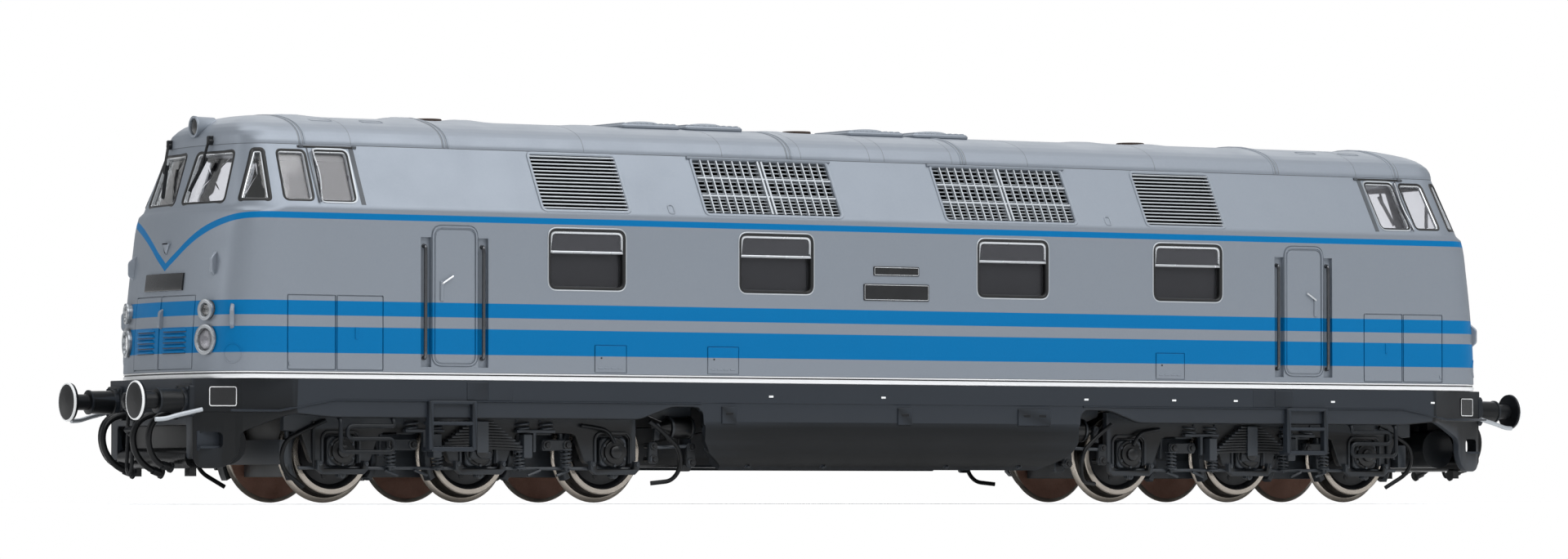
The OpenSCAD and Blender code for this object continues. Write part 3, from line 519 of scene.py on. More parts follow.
def add_node(tree, kind, links=None, values=None, **settings):
    """A shader node of a kind with its settings, its input values and its incoming links."""
    made = tree.nodes.new("ShaderNode" + kind)
    for key, value in settings.items():
        setattr(made, key, value)
    for key, value in (values or {}).items():
        made.inputs[key].default_value = value
    for key, source in (links or {}).items():
        tree.links.new(source, made.inputs[key])
    return made


BLOTCH = 14


def grained(name, colour, other, rough, rough_other, grain_mm, metallic=0.0, bump=0.02, coat=0.0,
            edge_tone=None, specular=0.5):
    """A material whose colour and roughness wander between two values over a grain of real size.

    The colour is the mix of two tones by noise whose scale is one over the grain in metres,
    the roughness follows a noise BLOTCH times coarser, and the fine noise makes the bump.  Where
    the edges are worn, a third colour comes in as the surface's pointiness rises.
    """
    made = bpy.data.materials.new(name)
    made.use_nodes = True
    made.diffuse_color = linear(colour)
    tree = made.node_tree
    tree.nodes.clear()
    place = add_node(tree, "TexCoord").outputs["Object"]
    fine = add_node(tree, "TexNoise", {"Vector": place},
                    {"Scale": 1 / (grain_mm * MM), "Detail": 4.0, "Roughness": 0.6})
    broad = add_node(tree, "TexNoise", {"Vector": place},
                     {"Scale": 1 / (grain_mm * BLOTCH * MM), "Detail": 3.0})
    spread = add_node(tree, "Math", {0: broad.outputs[0], 1: fine.outputs[0]}, operation="MULTIPLY_ADD")
    spread.inputs[2].default_value = 0.18
    tone = add_node(tree, "Mix", {"Factor": spread.outputs[0]},
                    {"A": linear(colour), "B": linear(other)}, data_type="RGBA")
    last = tone.outputs["Result"]
    if edge_tone:
        edge_share = add_node(tree, "NewGeometry").outputs["Pointiness"]
        edge_share = add_node(tree, "MapRange", {"Value": edge_share},
                        {"From Min": 0.53, "From Max": 0.62, "To Min": 0.0, "To Max": 0.6}).outputs[0]
        mixed = add_node(tree, "Mix", {"Factor": edge_share, "A": last}, {"B": linear(edge_tone)}, data_type="RGBA")
        last = mixed.outputs["Result"]
    gloss = add_node(tree, "MapRange", {"Value": broad.outputs[0]},
                     {"From Min": 0.3, "From Max": 0.7, "To Min": rough, "To Max": rough_other})
    relief = add_node(tree, "Bump", {"Height": fine.outputs[0]},
                      {"Strength": 0.35, "Distance": bump * MM})
    shader = add_node(tree, "BsdfPrincipled",
                      {"Base Color": last, "Roughness": gloss.outputs[0], "Normal": relief.outputs[0]},
                      {"Metallic": metallic, "Coat Weight": coat, "Specular IOR Level": specular})
    add_node(tree, "OutputMaterial", {"Surface": shader.outputs[0]})
    return made


def band_mask(tree, height, low, high):
    """One where a height lies between two limits in millimetres, with a crisp but soft edge."""
    soft = 0.03 * MM
    rise = add_node(tree, "MapRange", {"Value": height},
                    {"From Min": (low + RAIL) * MM - soft, "From Max": (low + RAIL) * MM + soft})
    fall = add_node(tree, "MapRange", {"Value": height},
                    {"From Min": (high + RAIL) * MM - soft, "From Max": (high + RAIL) * MM + soft,
                     "To Min": 1.0, "To Max": 0.0})
    return add_node(tree, "Math", {0: rise.outputs[0], 1: fall.outputs[0]}, operation="MULTIPLY").outputs[0]


# Heights of the two level stripes, and the window of heights that the V's curve is drawn in.
STRIPES = ((23.29, 25.20), (18.42, 21.81))
V_LOW, V_RISE = 29, 8
# The printed V of the nose: distance from the middle and height of the stripe's middle line.
V_LINE = ((0.0, 29.75), (1.3, 30.5), (2.65, 31.25), (5.2, 32.75), (8.1, 34.15), (10.8, 35.1), (13.4, 35.75),
          (15.3, 36.1), (16.6, 36.22), (17.5, 36.23))


def striped_lacquer(name, look):
    """Satin silver-grey lacquer with three printed bands, of which the top one dips to a V.

    The V is where the height less a curve of the distance from the middle is under half the
    band's width, the level bands lie between two heights, and ink covers the metal flake.
    """
    made = grained(name, look.body_grey, look.body_shade, 0.36, 0.44, 0.35, metallic=0.4, bump=0.004,
                   specular=0.12)
    tree = made.node_tree
    shader = next(n for n in tree.nodes if n.type == "BSDF_PRINCIPLED")
    grey = shader.inputs["Base Color"].links[0].from_socket
    axes = add_node(tree, "SeparateXYZ",
                    {0: add_node(tree, "TexCoord").outputs["Object"]}).outputs
    height = axes["Z"]
    across = add_node(tree, "Math", {0: axes["Y"]}, operation="ABSOLUTE").outputs[0]
    scaled = add_node(tree, "Math", {0: across}, {1: 1 / (HALF * MM)}, operation="MULTIPLY").outputs[0]
    curve = add_node(tree, "FloatCurve", {"Value": scaled})
    points = curve.mapping.curves[0].points
    for k, (y, z) in enumerate(V_LINE):
        spot = (y / HALF, (z - V_LOW) / V_RISE)
        if k in (0, len(V_LINE) - 1):
            points[0 if k == 0 else -1].location = spot
        else:
            points.new(*spot)
    curve.mapping.update()
    centre = add_node(tree, "Math", {0: curve.outputs[0]},
                      {1: V_RISE * MM, 2: (V_LOW + RAIL) * MM}, operation="MULTIPLY_ADD").outputs[0]
    off = add_node(tree, "Math", {0: height, 1: centre}, operation="SUBTRACT").outputs[0]
    off = add_node(tree, "Math", {0: off}, operation="ABSOLUTE").outputs[0]
    width = add_node(tree, "MapRange", {"Value": across},
                     {"From Min": 9 * MM, "From Max": 16 * MM, "To Min": 0.52 * MM,
                      "To Max": 0.41 * MM}).outputs[0]
    gap = add_node(tree, "Math", {0: off, 1: width}, operation="SUBTRACT").outputs[0]
    vee = add_node(tree, "MapRange", {"Value": gap},
                   {"From Min": -0.03 * MM, "From Max": 0.03 * MM, "To Min": 1.0, "To Max": 0.0}).outputs[0]
    mask = vee
    for low, high in STRIPES:
        level = band_mask(tree, height, low, high)
        mask = add_node(tree, "Math", {0: mask, 1: level}, operation="MAXIMUM").outputs[0]
    grain = next(n for n in tree.nodes if n.type == "TEX_NOISE").outputs[0]
    ink = add_node(tree, "Mix", {"Factor": grain},
                   {"A": linear(look.stripe_blue), "B": linear(look.stripe_shade)}, data_type="RGBA")
    mixed = add_node(tree, "Mix", {"Factor": mask, "A": grey, "B": ink.outputs["Result"]}, data_type="RGBA")
    tree.links.new(mixed.outputs["Result"], shader.inputs["Base Color"])
    flake = add_node(tree, "MapRange", {"Value": mask}, {"To Min": 0.42, "To Max": 0.0})
    tree.links.new(flake.outputs[0], shader.inputs["Metallic"])
    return made


def clear_pane(name, tint, rough, haze=0.0):
    """Clear moulded polystyrene: a faint tint, some grey haze, slow waves, and a clear shadow."""
    made = bpy.data.materials.new(name)
    made.use_nodes = True
    tree = made.node_tree
    tree.nodes.clear()
    place = add_node(tree, "TexCoord").outputs["Object"]
    wave = add_node(tree, "TexNoise", {"Vector": place}, {"Scale": 1 / (3.0 * MM)})
    relief = add_node(tree, "Bump", {"Height": wave.outputs[0]}, {"Strength": 0.06, "Distance": 0.05 * MM})
    shader = add_node(tree, "BsdfPrincipled", {"Normal": relief.outputs[0]},
                      {"Base Color": linear(tint), "Roughness": rough, "IOR": 1.45,
                       "Transmission Weight": 1.0 - haze})
    clear = add_node(tree, "BsdfTransparent", None, {"Color": linear(tint)})
    ray = add_node(tree, "LightPath")
    shade = add_node(tree, "MixShader",
                     {0: ray.outputs["Is Shadow Ray"], 1: shader.outputs[0], 2: clear.outputs[0]})
    add_node(tree, "OutputMaterial", {"Surface": shade.outputs[0]})
    return made


PAINTS = {}


def mix_paints(look):
    """Every finish of the model, named for what the real one is."""
    PAINTS.update({
        # Sprayed satin lacquer on ABS: a fine metal flake gives it a soft sheen.
        "lacquer": striped_lacquer("Satin silver-grey lacquer on ABS with printed stripes", look),
        # The same lacquer without print, a touch glossier where the roof turns to the light.
        "roof_lacquer": grained("Satin silver-grey lacquer on the ABS roof", look.body_grey, look.body_shade,
                                0.36, 0.46, 0.4, metallic=0.4, bump=0.006, specular=0.3),
        # A lighter coat on slats, frames and levers, so that they stand out from the body; on the grille slats, fins
        # and shutters the lighter tone is painted highlight, and on frames and levers it is a paler trim.
        "trim_lacquer": grained("Satin light grey lacquer on moulded ABS trim", "#b3b8bd", "#a4a9ae",
                                0.34, 0.44, 0.3, metallic=0.4, bump=0.004, coat=0.1),
        # Unpainted dark ABS: matt, with a faint eroded grain.
        "inside": grained("Dark grey moulded ABS inside the body", "#24262a", "#1b1d20", 0.6, 0.75, 0.5,
                          bump=0.01),
        # Blue-black ABS with a low sheen and a paler line along its sharp edges.
        "frame": grained("Matt blue-black moulded ABS underframe", look.frame_black, look.frame_shade,
                         0.36, 0.48, 0.45, bump=0.012, edge_tone="#343a42", specular=0.26),
        # Slippery POM: black, with narrow highlights that pick out the relief.
        "bogie": grained("Matt black moulded POM bogie", look.bogie_black, look.bogie_shade,
                         0.28, 0.4, 0.3, bump=0.012, edge_tone="#454b52", specular=0.42),
        # The same plastic on small fittings, where only a thin glint shows.
        "black": grained("Satin black moulded POM fittings", "#08090a", "#0c0d0f", 0.3, 0.42, 0.25,
                         bump=0.008, edge_tone="#202327", specular=0.25),
        # Printed rubber: a smooth black line round each pane.
        "gasket": grained("Black printed rubber gasket", "#0b0c0d", "#141516", 0.35, 0.5, 0.2, bump=0.004),
        # Painted shade: a near-black sheet behind the grilles stands in for the shade in their depth, so hardly any
        # light comes back from it.
        "void": grained("Matt black painted shade behind the grilles", "#030304", "#050506", 0.85, 0.95, 0.3, bump=0.01,
                        specular=0.05),
        # Painted shade: dark grey strips where undercuts lie in their own shade, under the nose louvres and beside the
        # cab windows, soft and grey; the same grey draws the joint under the roof.
        "shade": grained("Dark grey painted shade in recesses of the moulding", "#4b5056", "#3c4045", 0.5, 0.6, 0.3, bump=0.004),
        # Lacquer that lies thin in a joint, a little darker than the panels beside it.
        "seam": grained("Satin grey lacquer in the roof's joints", "#777c82", "#6b7076", 0.4, 0.5, 0.3,
                        metallic=0.3, bump=0.004),
        # Hot-stamped foil: the whitest line of the model, faintly metallic.
        "foil": grained("Hot-stamped bright silver foil on the sill", "#f0f1f2", "#e2e4e6", 0.3, 0.38, 0.6,
                        metallic=0.25, bump=0.001),
        # Stamped print that catches the light as a thin bright line; on the wind deflectors' edges and the door levers
        # the same silver is painted highlight.
        "silver": grained("Hot-stamped silver print on window frames", "#d3d6d9", "#bcc0c4", 0.22, 0.34, 0.2,
                          metallic=0.7, bump=0.004),
        # Opaque print, dull and even, for rims and small marks.
        "white": grained("White printed lacquer", "#eceded", "#dfe1e2", 0.35, 0.45, 0.25, bump=0.003),
        # Fresh turned metal: bright, warm and nearly a mirror.
        "nickel": grained("Turned nickel-plated brass tyre", "#cfc6bb", "#b3aa9f", 0.2, 0.3, 1.0,
                          metallic=0.9, bump=0.0005),
        # Running surface darkened as painted shade and a painted dark reflection of the underframe, so it stays dark
        # between bright edges.
        "tread": grained("Tyre tread darkened with painted shade", "#3b3733", "#262422", 0.28, 0.42, 0.3, metallic=0.8,
                         bump=0.006),
        # Sintered metal, open-grained and dull, with a copper tone, made brighter than its own colour as painted light
        # from the floor below.
        "back_metal": grained("Copper-brown sintered wheel back", "#d0a08c", "#8e6858", 0.45, 0.7, 0.16,
                              metallic=0.25, bump=0.03),
        # Oxidised metal, matt black with a soft edge to its highlights.
        "wheel_black": grained("Chemically blackened wheel centre", "#15161a", "#0e0f12", 0.38, 0.5, 0.3,
                               bump=0.01),
        # Drawn wire, a grey lighter than the near-black steel: the lighter tone is painted highlight for the one
        # bright streak along each rail, which the gloss also shows.
        "wire": grained("Burnished dark spring-steel wire", "#6c6e71", "#4c4e51", 0.16, 0.26, 0.6,
                        metallic=0.9, bump=0.001),
        # Silver lacquer on the rings, softer than plated metal.
        "lamp_ring": grained("Satin silver lacquer on the lamp rings", "#a4a8ac", "#94989c", 0.24, 0.32, 0.3,
                             metallic=0.7, bump=0.002),
        # Polished-tool ABS with a soft sheen on its upper side.
        "apron": grained("Satin black moulded ABS apron", "#08090b", "#060708", 0.26, 0.32, 0.5, bump=0.004,
                         specular=0.45),
        # Dead-flat brown that looks burnt beside the roof.
        "rust": grained("Dull brown exhaust lacquer", "#4b3a30", "#2e2521", 0.55, 0.75, 0.4, bump=0.02),
        # Gloss print under a thin clear coat, deep and even.
        "plate": grained("Gloss black printed plate", "#101113", "#17181a", 0.2, 0.3, 0.2, bump=0.002,
                         coat=0.4),
        # Self-coloured plastic seen through the panes, soft and slightly mauve.
        "seat": grained("Lavender-grey moulded cab interior", "#676574", "#5b5967", 0.5, 0.65, 0.4,
                        bump=0.01),
        # Thin vacuum silvering: a blurred bright bowl behind the lens.
        "reflector": grained("Vacuum-silvered lamp reflector", "#77757c", "#605e65", 0.28, 0.36, 0.6,
                             metallic=0.7, bump=0.002),
        # Polished pane with a very slow wave, nearly invisible but for its reflections.
        "glass": clear_pane("Clear moulded polystyrene pane", "#f4f6f7", 0.02),
        # Deeper glazing blocks that catch more light than they let through.
        "side_glass": clear_pane("Clear polystyrene side pane", "#e6e6ec", 0.03, 0.03),
        # Panes before the dark inside: they pass about a third of the light, and the
        # lower one a little less.
        "smoke_glass": clear_pane("Clear polystyrene drop pane", "#94959b", 0.04, 0.12),
        "deep_glass": clear_pane("Clear polystyrene lower pane", "#808187", 0.04, 0.1),
    })


# ---------------- making pieces


def build(name, body, slot, solids, replaces=(), sharp=38.0):
    """One object from many closed solids, in metres, riding on a body."""
    paints = sorted({p for _, _, p in solids})
    counts = np.cumsum([0] + [len(v) for v, _, _ in solids])
    verts = np.concatenate([v for v, _, _ in solids]) + [0, 0, RAIL]
    faces, slots = [], []
    for (v, fs, paint), start in zip(solids, counts):
        faces += [[i + start for i in f] for f in fs]
        slots += [paints.index(paint)] * len(fs)
    mesh = bpy.data.meshes.new(name)
    mesh.from_pydata((verts * MM).tolist(), [], faces)
    for paint in paints:
        mesh.materials.append(PAINTS.get(paint))
    mesh.polygons.foreach_set("material_index", slots)
    mesh.update()
    mesh.shade_smooth()
    mesh.set_sharp_from_angle(angle=math.radians(sharp))
    piece = bpy.data.objects.new(name, mesh)
    bpy.context.scene.collection.objects.link(piece)
    if body:
        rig.ride(piece, body)
    if slot:
        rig.slot(piece, slot)
    if replaces:
        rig.replaces(piece, *replaces)
    return piece


def carve(piece, cutters):
    """Cuts each group of prisms out of a piece and keeps the result as its mesh."""
    groups = [build(f"cutter_{k}", None, None, group) for k, group in enumerate(cutters)]
    for group in groups:
        cut = piece.modifiers.new("cut", "BOOLEAN")
        cut.operation, cut.solver, cut.object = "DIFFERENCE", "MANIFOLD", group
        cut.material_mode = "TRANSFER"
    ready = piece.evaluated_get(bpy.context.evaluated_depsgraph_get())
    mesh = bpy.data.meshes.new_from_object(ready)
    piece.modifiers.clear()
    mesh.name = piece.name
    piece.data = mesh
    for group in groups:
        old = group.data
        bpy.data.objects.remove(group)
        bpy.data.meshes.remove(old)
    mesh.set_sharp_from_angle(angle=math.radians(32))
    return piece


def finish_cad(node, paint):
    """Gives a CAD node that stays in view its material."""
    mesh = frame["nodes"][node].data
    mesh.materials.clear()
    mesh.materials.append(PAINTS[paint])


def finish_all_cad(look):
    """Finishes for the parts whose CAD surface stays in view."""
    for node, paint in (("aprons", "apron"), ("cab_interiors", "seat"), ("engine_block", "inside"),
                        ("air_tanks", "black"), ("front_bogie_frame", "bogie"),
                        ("rear_bogie_frame", "bogie")):
        finish_cad(node, paint)


def loft(levels, inset, **steps):
    """Rings of a stack of (height, level) pairs."""
    return np.stack([stand(full_ring(quarter(l, inset, **steps)), "z", z) for z, l in levels])


def smooth_heights():
    """Heights of the body's rings, closer together where the nose curves."""
    return np.unique(np.round(np.concatenate([
        np.linspace(SILL, WAIST - 1.6, 18), [WAIST - 1.1, WAIST - 0.6, WAIST - 0.3, WAIST],
        np.linspace(WAIST + 0.4, EAVES, 8)]), 4))


def nose_levels():
    """Levels of the body, the nose's setback bent smoothly through the table's rows."""
    z = smooth_heights()
    level = body_level(z)
    knots, values = BODY_TABLE[:6, 0], BODY_TABLE[:6, 1]
    slope = np.gradient(values, knots)
    k = np.clip(np.searchsorted(knots, z, side="right") - 1, 0, 4)
    span = knots[k + 1] - knots[k]
    t = np.clip((z - knots[k]) / span, 0, 1)
    hermite = ((2 * t ** 3 - 3 * t ** 2 + 1) * values[k] + (t ** 3 - 2 * t ** 2 + t) * span * slope[k]
               + (3 * t ** 2 - 2 * t ** 3) * values[k + 1] + (t ** 3 - t ** 2) * span * slope[k + 1])
    level[:, 0] = np.where(z < WAIST - 0.6, np.maximum(hermite, 0), level[:, 0])
    return list(zip(z, level))


def groove(outline, look, width=0.16, deep=0.2):
    """A shallow channel round a closed outline on the skin, for cutting."""
    half = width / 2
    return bead(outline, look, [[-half, -deep], [half, -deep], [half, 0.3], [-half, 0.3]], "lacquer")


# Height and radius of the two lamps on each side of a nose, the way they look and their place across.
LAMPS = ((20.1, 1.85), (23.95, 1.25))
LAMP_WAY = (0.970, 0.242, 0)
LAMP_Y = HALF - 6.0
ROOF_LAMP = (NOSE - 5.05, 0, 48.3)
HATCH_LOW, HATCH_HIGH = 16.25, 25.9
SIDE_HATCHES = ((NOSE - 24, NOSE - 17.1), (NOSE - 17.0, NOSE - 9.9))
LOW_HATCHES = (-47.6, -30.1, 43.2)


def make_shell(look):
    """The body: a loft of its levels with a wall inside, cut for windows, grilles, lamps and seams."""
    outer = loft(nose_levels(), 0.0)
    inner = loft(nose_levels(), 1.2)
    skin = closed(np.concatenate([outer, inner[::-1]]), "lacquer", wrap_rows=True)
    verts, faces, _ = skin
    ring = outer.shape[1]
    wall = outer.shape[0] * ring
    solids = [(verts, [f for f in faces if min(f) < wall], "lacquer"),
              (verts, [f for f in faces if min(f) >= wall], "inside")]
    piece = build("body_skin", "chassis", "body_plastic", solids, ("body_shell",))
    weld(piece)
    windows = []
    w, h, low = ENGINE_WINDOW
    for x in ENGINE_WINDOW_XS:
        windows.append(plate(oblong(x, low + h / 2, w, h, 1.2), -25, 25, "y", "inside", 0.001))
    for x, width in ((LOUVRE_X, LOUVRE_W), (MESH_X, MESH_W)):
        for s in (-1, 1):
            windows.append(plate(oblong(s * x, (WAIST + EAVES) / 2, width - 0.1, EAVES - WAIST - 0.5, 0.5),
                                 -25, 25, "y", "inside", 0.001))
    ends = [opening(FRONT_SCREEN, "front"), opening(CORNER_WINDOW, "corner", -6, 6)]
    ends += [opening(o, "side", -3, 5) for o in CAB_WINDOWS]
    for z, r in LAMPS:
        ends.append(turn([(-5, r), (5, r)], (NOSE - 1.2, LAMP_Y, z), "x", "inside", 40))
    for s in (-1, 1):
        ends.append(block((DOOR_X + s * 4.275 - 0.775, DOOR_X + s * 4.275 + 0.775), (HALF - 0.6, HALF + 1),
                          (16.75, 33.75), "lacquer", 0.001))
    ends.append(groove(oblong(DOOR_X, 26.1, 6.9, 18.5, 1.5), "side", 0.13, 0.12))
    rings = [groove(oblong(DOOR_X, 26.0, 6.1, 17.7, 1.2), "side", 0.12, 0.1)]
    for x0, x1 in SIDE_HATCHES:
        rings.append(groove(rounded(rect(x0 + 0.07, HATCH_LOW, x1 - 0.07, HATCH_HIGH), 0.12, 2), "side"))
    panel = np.stack([np.concatenate([np.linspace(0.1, 8.5, 12), np.full(6, 8.5), np.linspace(8.5, 0.1, 12),
                                      np.full(6, 0.1)]),
                      np.concatenate([np.full(12, 16.35), np.linspace(17, 25.2, 6), np.full(12, HATCH_HIGH),
                                      np.linspace(25.2, 17, 6)])], -1)
    rings.append(groove(panel, "front"))
    lows = [groove(rounded(rect(x, HATCH_LOW, x + 4.9, 19.9), 0.1, 2), "side", 0.12, 0.1)
            for x in LOW_HATCHES]
    carve(piece, [windows + copies(ends), copies(rings), copies(lows, ends=False)])


def weld(piece):
    """Merges points that lie together and turns the faces of the joined skin outwards."""
    work = bmesh.new()
    work.from_mesh(piece.data)
    bmesh.ops.remove_doubles(work, verts=work.verts, dist=1e-6)
    work.to_mesh(piece.data)
    work.free()


# The roof's section: share of its rise, setback from the eaves, share of the half width.
ROOF_STEPS = np.array([
    [0, 0, 1], [0.1, 0, 0.997], [0.25, 0.05, 0.975], [0.4, 0.3, 0.94], [0.53, 0.75, 0.885],
    [0.66, 1.4, 0.8], [0.78, 2.4, 0.68], [0.88, 3.8, 0.53], [0.95, 5.4, 0.36], [0.985, 6.8, 0.21],
                       [1, 8, 0.06]])
# Places of the seams over one half of the roof, and the humps as place, half length and rise.
DOUBLE_SEAMS = (88.9, 67.6, 14.2)
THIN_SEAMS = (81.7, 46.5, 24.9, 1.2, -12.3)
HUMPS = ((-68.8, 2.0, 0.42), (90.0, 2.6, 0.34), (68.0, 1.6, 0.2), (52.0, 1.6, 0.2), (41.0, 2.4, 0.22),
         (-11.0, 1.9, 0.22), (-41.0, 2.2, 0.2), (-59.5, 2.4, 0.34), (-85.5, 2.6, 0.3))


def roof_level(share):
    """Height and level (setback, half width, bow, corner radius) at a share of the roof's rise."""
    setback = ROOF_BACK + np.interp(share, ROOF_STEPS[:, 0], ROOF_STEPS[:, 1])
    width = np.interp(share, ROOF_STEPS[:, 0], ROOF_STEPS[:, 2])
    return EAVES + share * (CROWN - EAVES), (setback, EAVES_HALF * width, 1.05 * width,
                                             3.9 * min(1, width + 0.1) * 0.98)


def roof_swell(points):
    """Rise of the low humps: a sum of bell curves along the roof that fade towards its edges."""
    bell = sum(h * np.exp(-(((points[..., 0] - x) / w) ** 2)) for x, w, h in HUMPS)
    middle = np.clip((points[..., 2] - EAVES) / (CROWN - EAVES), 0, 1)
    return bell * np.exp(-((points[..., 1] / 6.5) ** 4)) * middle ** 2


def roof_rib(x, profile, paint):
    """A profile carried over the roof from edge to edge at one place along it."""
    share = np.linspace(0.02, 1, 30)
    half = np.array([[roof_level(t)[1][1], roof_level(t)[0]] for t in share])
    half = np.concatenate([half, [[0, CROWN]]])
    path = np.concatenate([half, half[::-1][1:] * [-1, 1]])
    path = np.insert(path, 0, x, axis=1)
    path[:, 2] += roof_swell(path)
    run = unit(np.gradient(path, axis=0))
    return carry(profile, path, np.cross(run, [1.0, 0, 0]), paint)


def make_roof(look):
    """The roof: a loft of flattening rings, raised along its middle by low humps, and its seams."""
    levels = [roof_level(t) for t in np.linspace(0, 1, 30) ** 0.8]
    steps = dict(bow_steps=8, arc_steps=10, side_steps=120)
    outer, inner = loft(levels, 0.0, **steps), loft(levels, 1.0, **steps)
    outer[..., 2] += roof_swell(outer)
    inner[..., 2] -= 0.8
    skin = [closed(np.concatenate([outer, inner[::-1]]), "roof_lacquer")]
    bead = [[-0.13, -0.3], [0.13, -0.3], [0.13, 0.02], [0.06, 0.09], [-0.06, 0.09], [-0.13, 0.02]]
    line = [[-0.08, -0.3], [0.08, -0.3], [0.08, 0.015], [-0.08, 0.015]]
    for s in (-1, 1):
        for x in DOUBLE_SEAMS:
            for step, profile, paint in ((-0.42, bead, "roof_lacquer"), (-0.14, line, "seam"),
                                         (0.2, bead, "roof_lacquer"), (0.42, line, "seam")):
                skin.append(roof_rib(s * (x + step), profile, paint))
        for x in THIN_SEAMS:
            skin.append(roof_rib(s * x, [[-0.05, -0.3], [0.05, -0.3], [0.05, 0.01], [-0.05, 0.01]], "seam"))
    build("roof_skin", "chassis", "body_plastic", skin, ("roof",), sharp=50)


def make_roof_fittings(look):
    """Fan vents with their domes, exhaust outlets and the small raised marks of the roof."""
    solids = []
    for x in (-31.5, -21.5, 4.8, 15.5):
        solids.append(plate(oblong(x, 0, 9.2, 10.4, 0.8), CROWN - 0.4, CROWN + 0.34, "z", "roof_lacquer",
                            0.25))
        for k in range(9):
            solids.append(block((x - 4.2 + k * 0.98, x - 3.75 + k * 0.98), (-4.6, 4.6),
                                (CROWN + 0.2, CROWN + 0.52), "roof_lacquer", 0.1))
        dome = [(0, 2.6), (0.28, 2.58), (0.5, 2.35), (0.66, 1.8), (0.74, 1.0), (0.76, 0.05)]
        solids.append(turn(dome, (x + 1.2, 0, CROWN + 0.22), "z", "roof_lacquer", 40))
    build("roof_fans", "chassis", "body_plastic", solids, ("roof_vents",))
    solids = []
    for x in (-63.5, -5.2, 51):
        cup = [(0, 2.0), (0.25, 2.0), (0.33, 1.9), (0.33, 1.62), (0.05, 1.5), (0.03, 0.05)]
        solids.append(turn(cup, (x, 0, CROWN), "z", "rust", 40))
    build("exhaust_outlets", "chassis", "exhaust_brown", solids, ("exhaust_stacks",))
    marks = []
    bead = [[-0.09, -0.15], [0.09, -0.15], [0.05, 0.06], [-0.05, 0.06]]
    for x in (83.8, 76.2):
        ring = oblong(0, 0, 3.2, 1.2, 0.35, 4)
        path = np.stack([x + ring[:, 0], 7.9 + 0.975 * ring[:, 1], 49.2 - 0.22 * ring[:, 1]], -1)
        marks.append(carry(bead, path, (0, 0.22, 0.975), "roof_lacquer", ring=True))
    build("roof_marks", "chassis", "body_plastic", copies(marks))


def framed(outline, look, gasket_w, lip_w, sink=0.55):
    """Gasket bead on the opening's edge, a bright lip inside it and the clear pane behind."""
    outline = np.asarray(outline, float)
    area = np.sum(outline[:, 0] * np.roll(outline[:, 1], -1) - outline[:, 1] * np.roll(outline[:, 0], -1))
    if area < 0:
        outline = outline[::-1]
    g, l = gasket_w, lip_w
    gasket = [[-0.1, -0.6], [g - 0.1, -0.6], [g - 0.1, -0.02], [g - 0.2, 0.06], [0.0, 0.08], [-0.1, 0.0]]
    lip = [[g - 0.12, -0.62], [g + l - 0.1, -0.62], [g + l - 0.1, -0.2], [g - 0.12, -0.08]]
    flip = -1 if look in ("front", "corner") else 1
    solids = []
    for profile, paint in ((gasket, "gasket"), (lip, "silver")):
        p = np.array(profile) * [flip, 1]
        solids.append(bead(outline, look, p, paint))
    solids.append(pane(shrink(outline, g * 0.6), look, sink, 0.35, "side_glass" if look == "side"
                       else "glass"))
    return solids


def make_cab_glazing(look):
    """Panes of both cabs with their gaskets and silver lips, and the wind deflectors."""
    solids = framed(FRONT_SCREEN, "front", 0.42, 0.09)
    solids += framed(CORNER_WINDOW, "corner", 0.55, 0.1)
    solids += framed(CAB_WINDOWS[0], "side", 0.34, 0.13)
    solids += framed(CAB_WINDOWS[1], "side", 0.26, 0.09)
    solids.append(bead(CAB_WINDOWS[1][::-1], "side",
                       [[-0.36, -0.2], [-0.08, -0.2], [-0.08, 0.04], [-0.3, 0.09]], "trim_lacquer"))
    build("cab_panes", "chassis", "clear_pane", copies(solids), ("cab_glazing",))
    t = np.linspace(0, 1, 14)
    z = WINDOW_LOW + (WINDOW_HIGH - WINDOW_LOW) * t
    x = NOSE - 15.0 - 0.55 * t - 0.35 * np.sin(t * np.pi) ** 2
    y = WAIST_HALF - (z - WAIST) * LEAN
    path = np.stack([x, y + 0.25, z], -1)
    # The silver rod along each deflector's outer edge is a painted highlight on the clear edge.
    fin = [carry([[-0.05, -0.3], [0.05, -0.3], [0.05, 0.3], [-0.05, 0.3]], path, (0.3, 1, 0), "smoke_glass"),
           carry(circle(0.09, 8), path + [0, 0.3, 0], (0.3, 1, 0), "silver")]
    build("wind_deflectors", "chassis", "clear_pane", copies(fin))


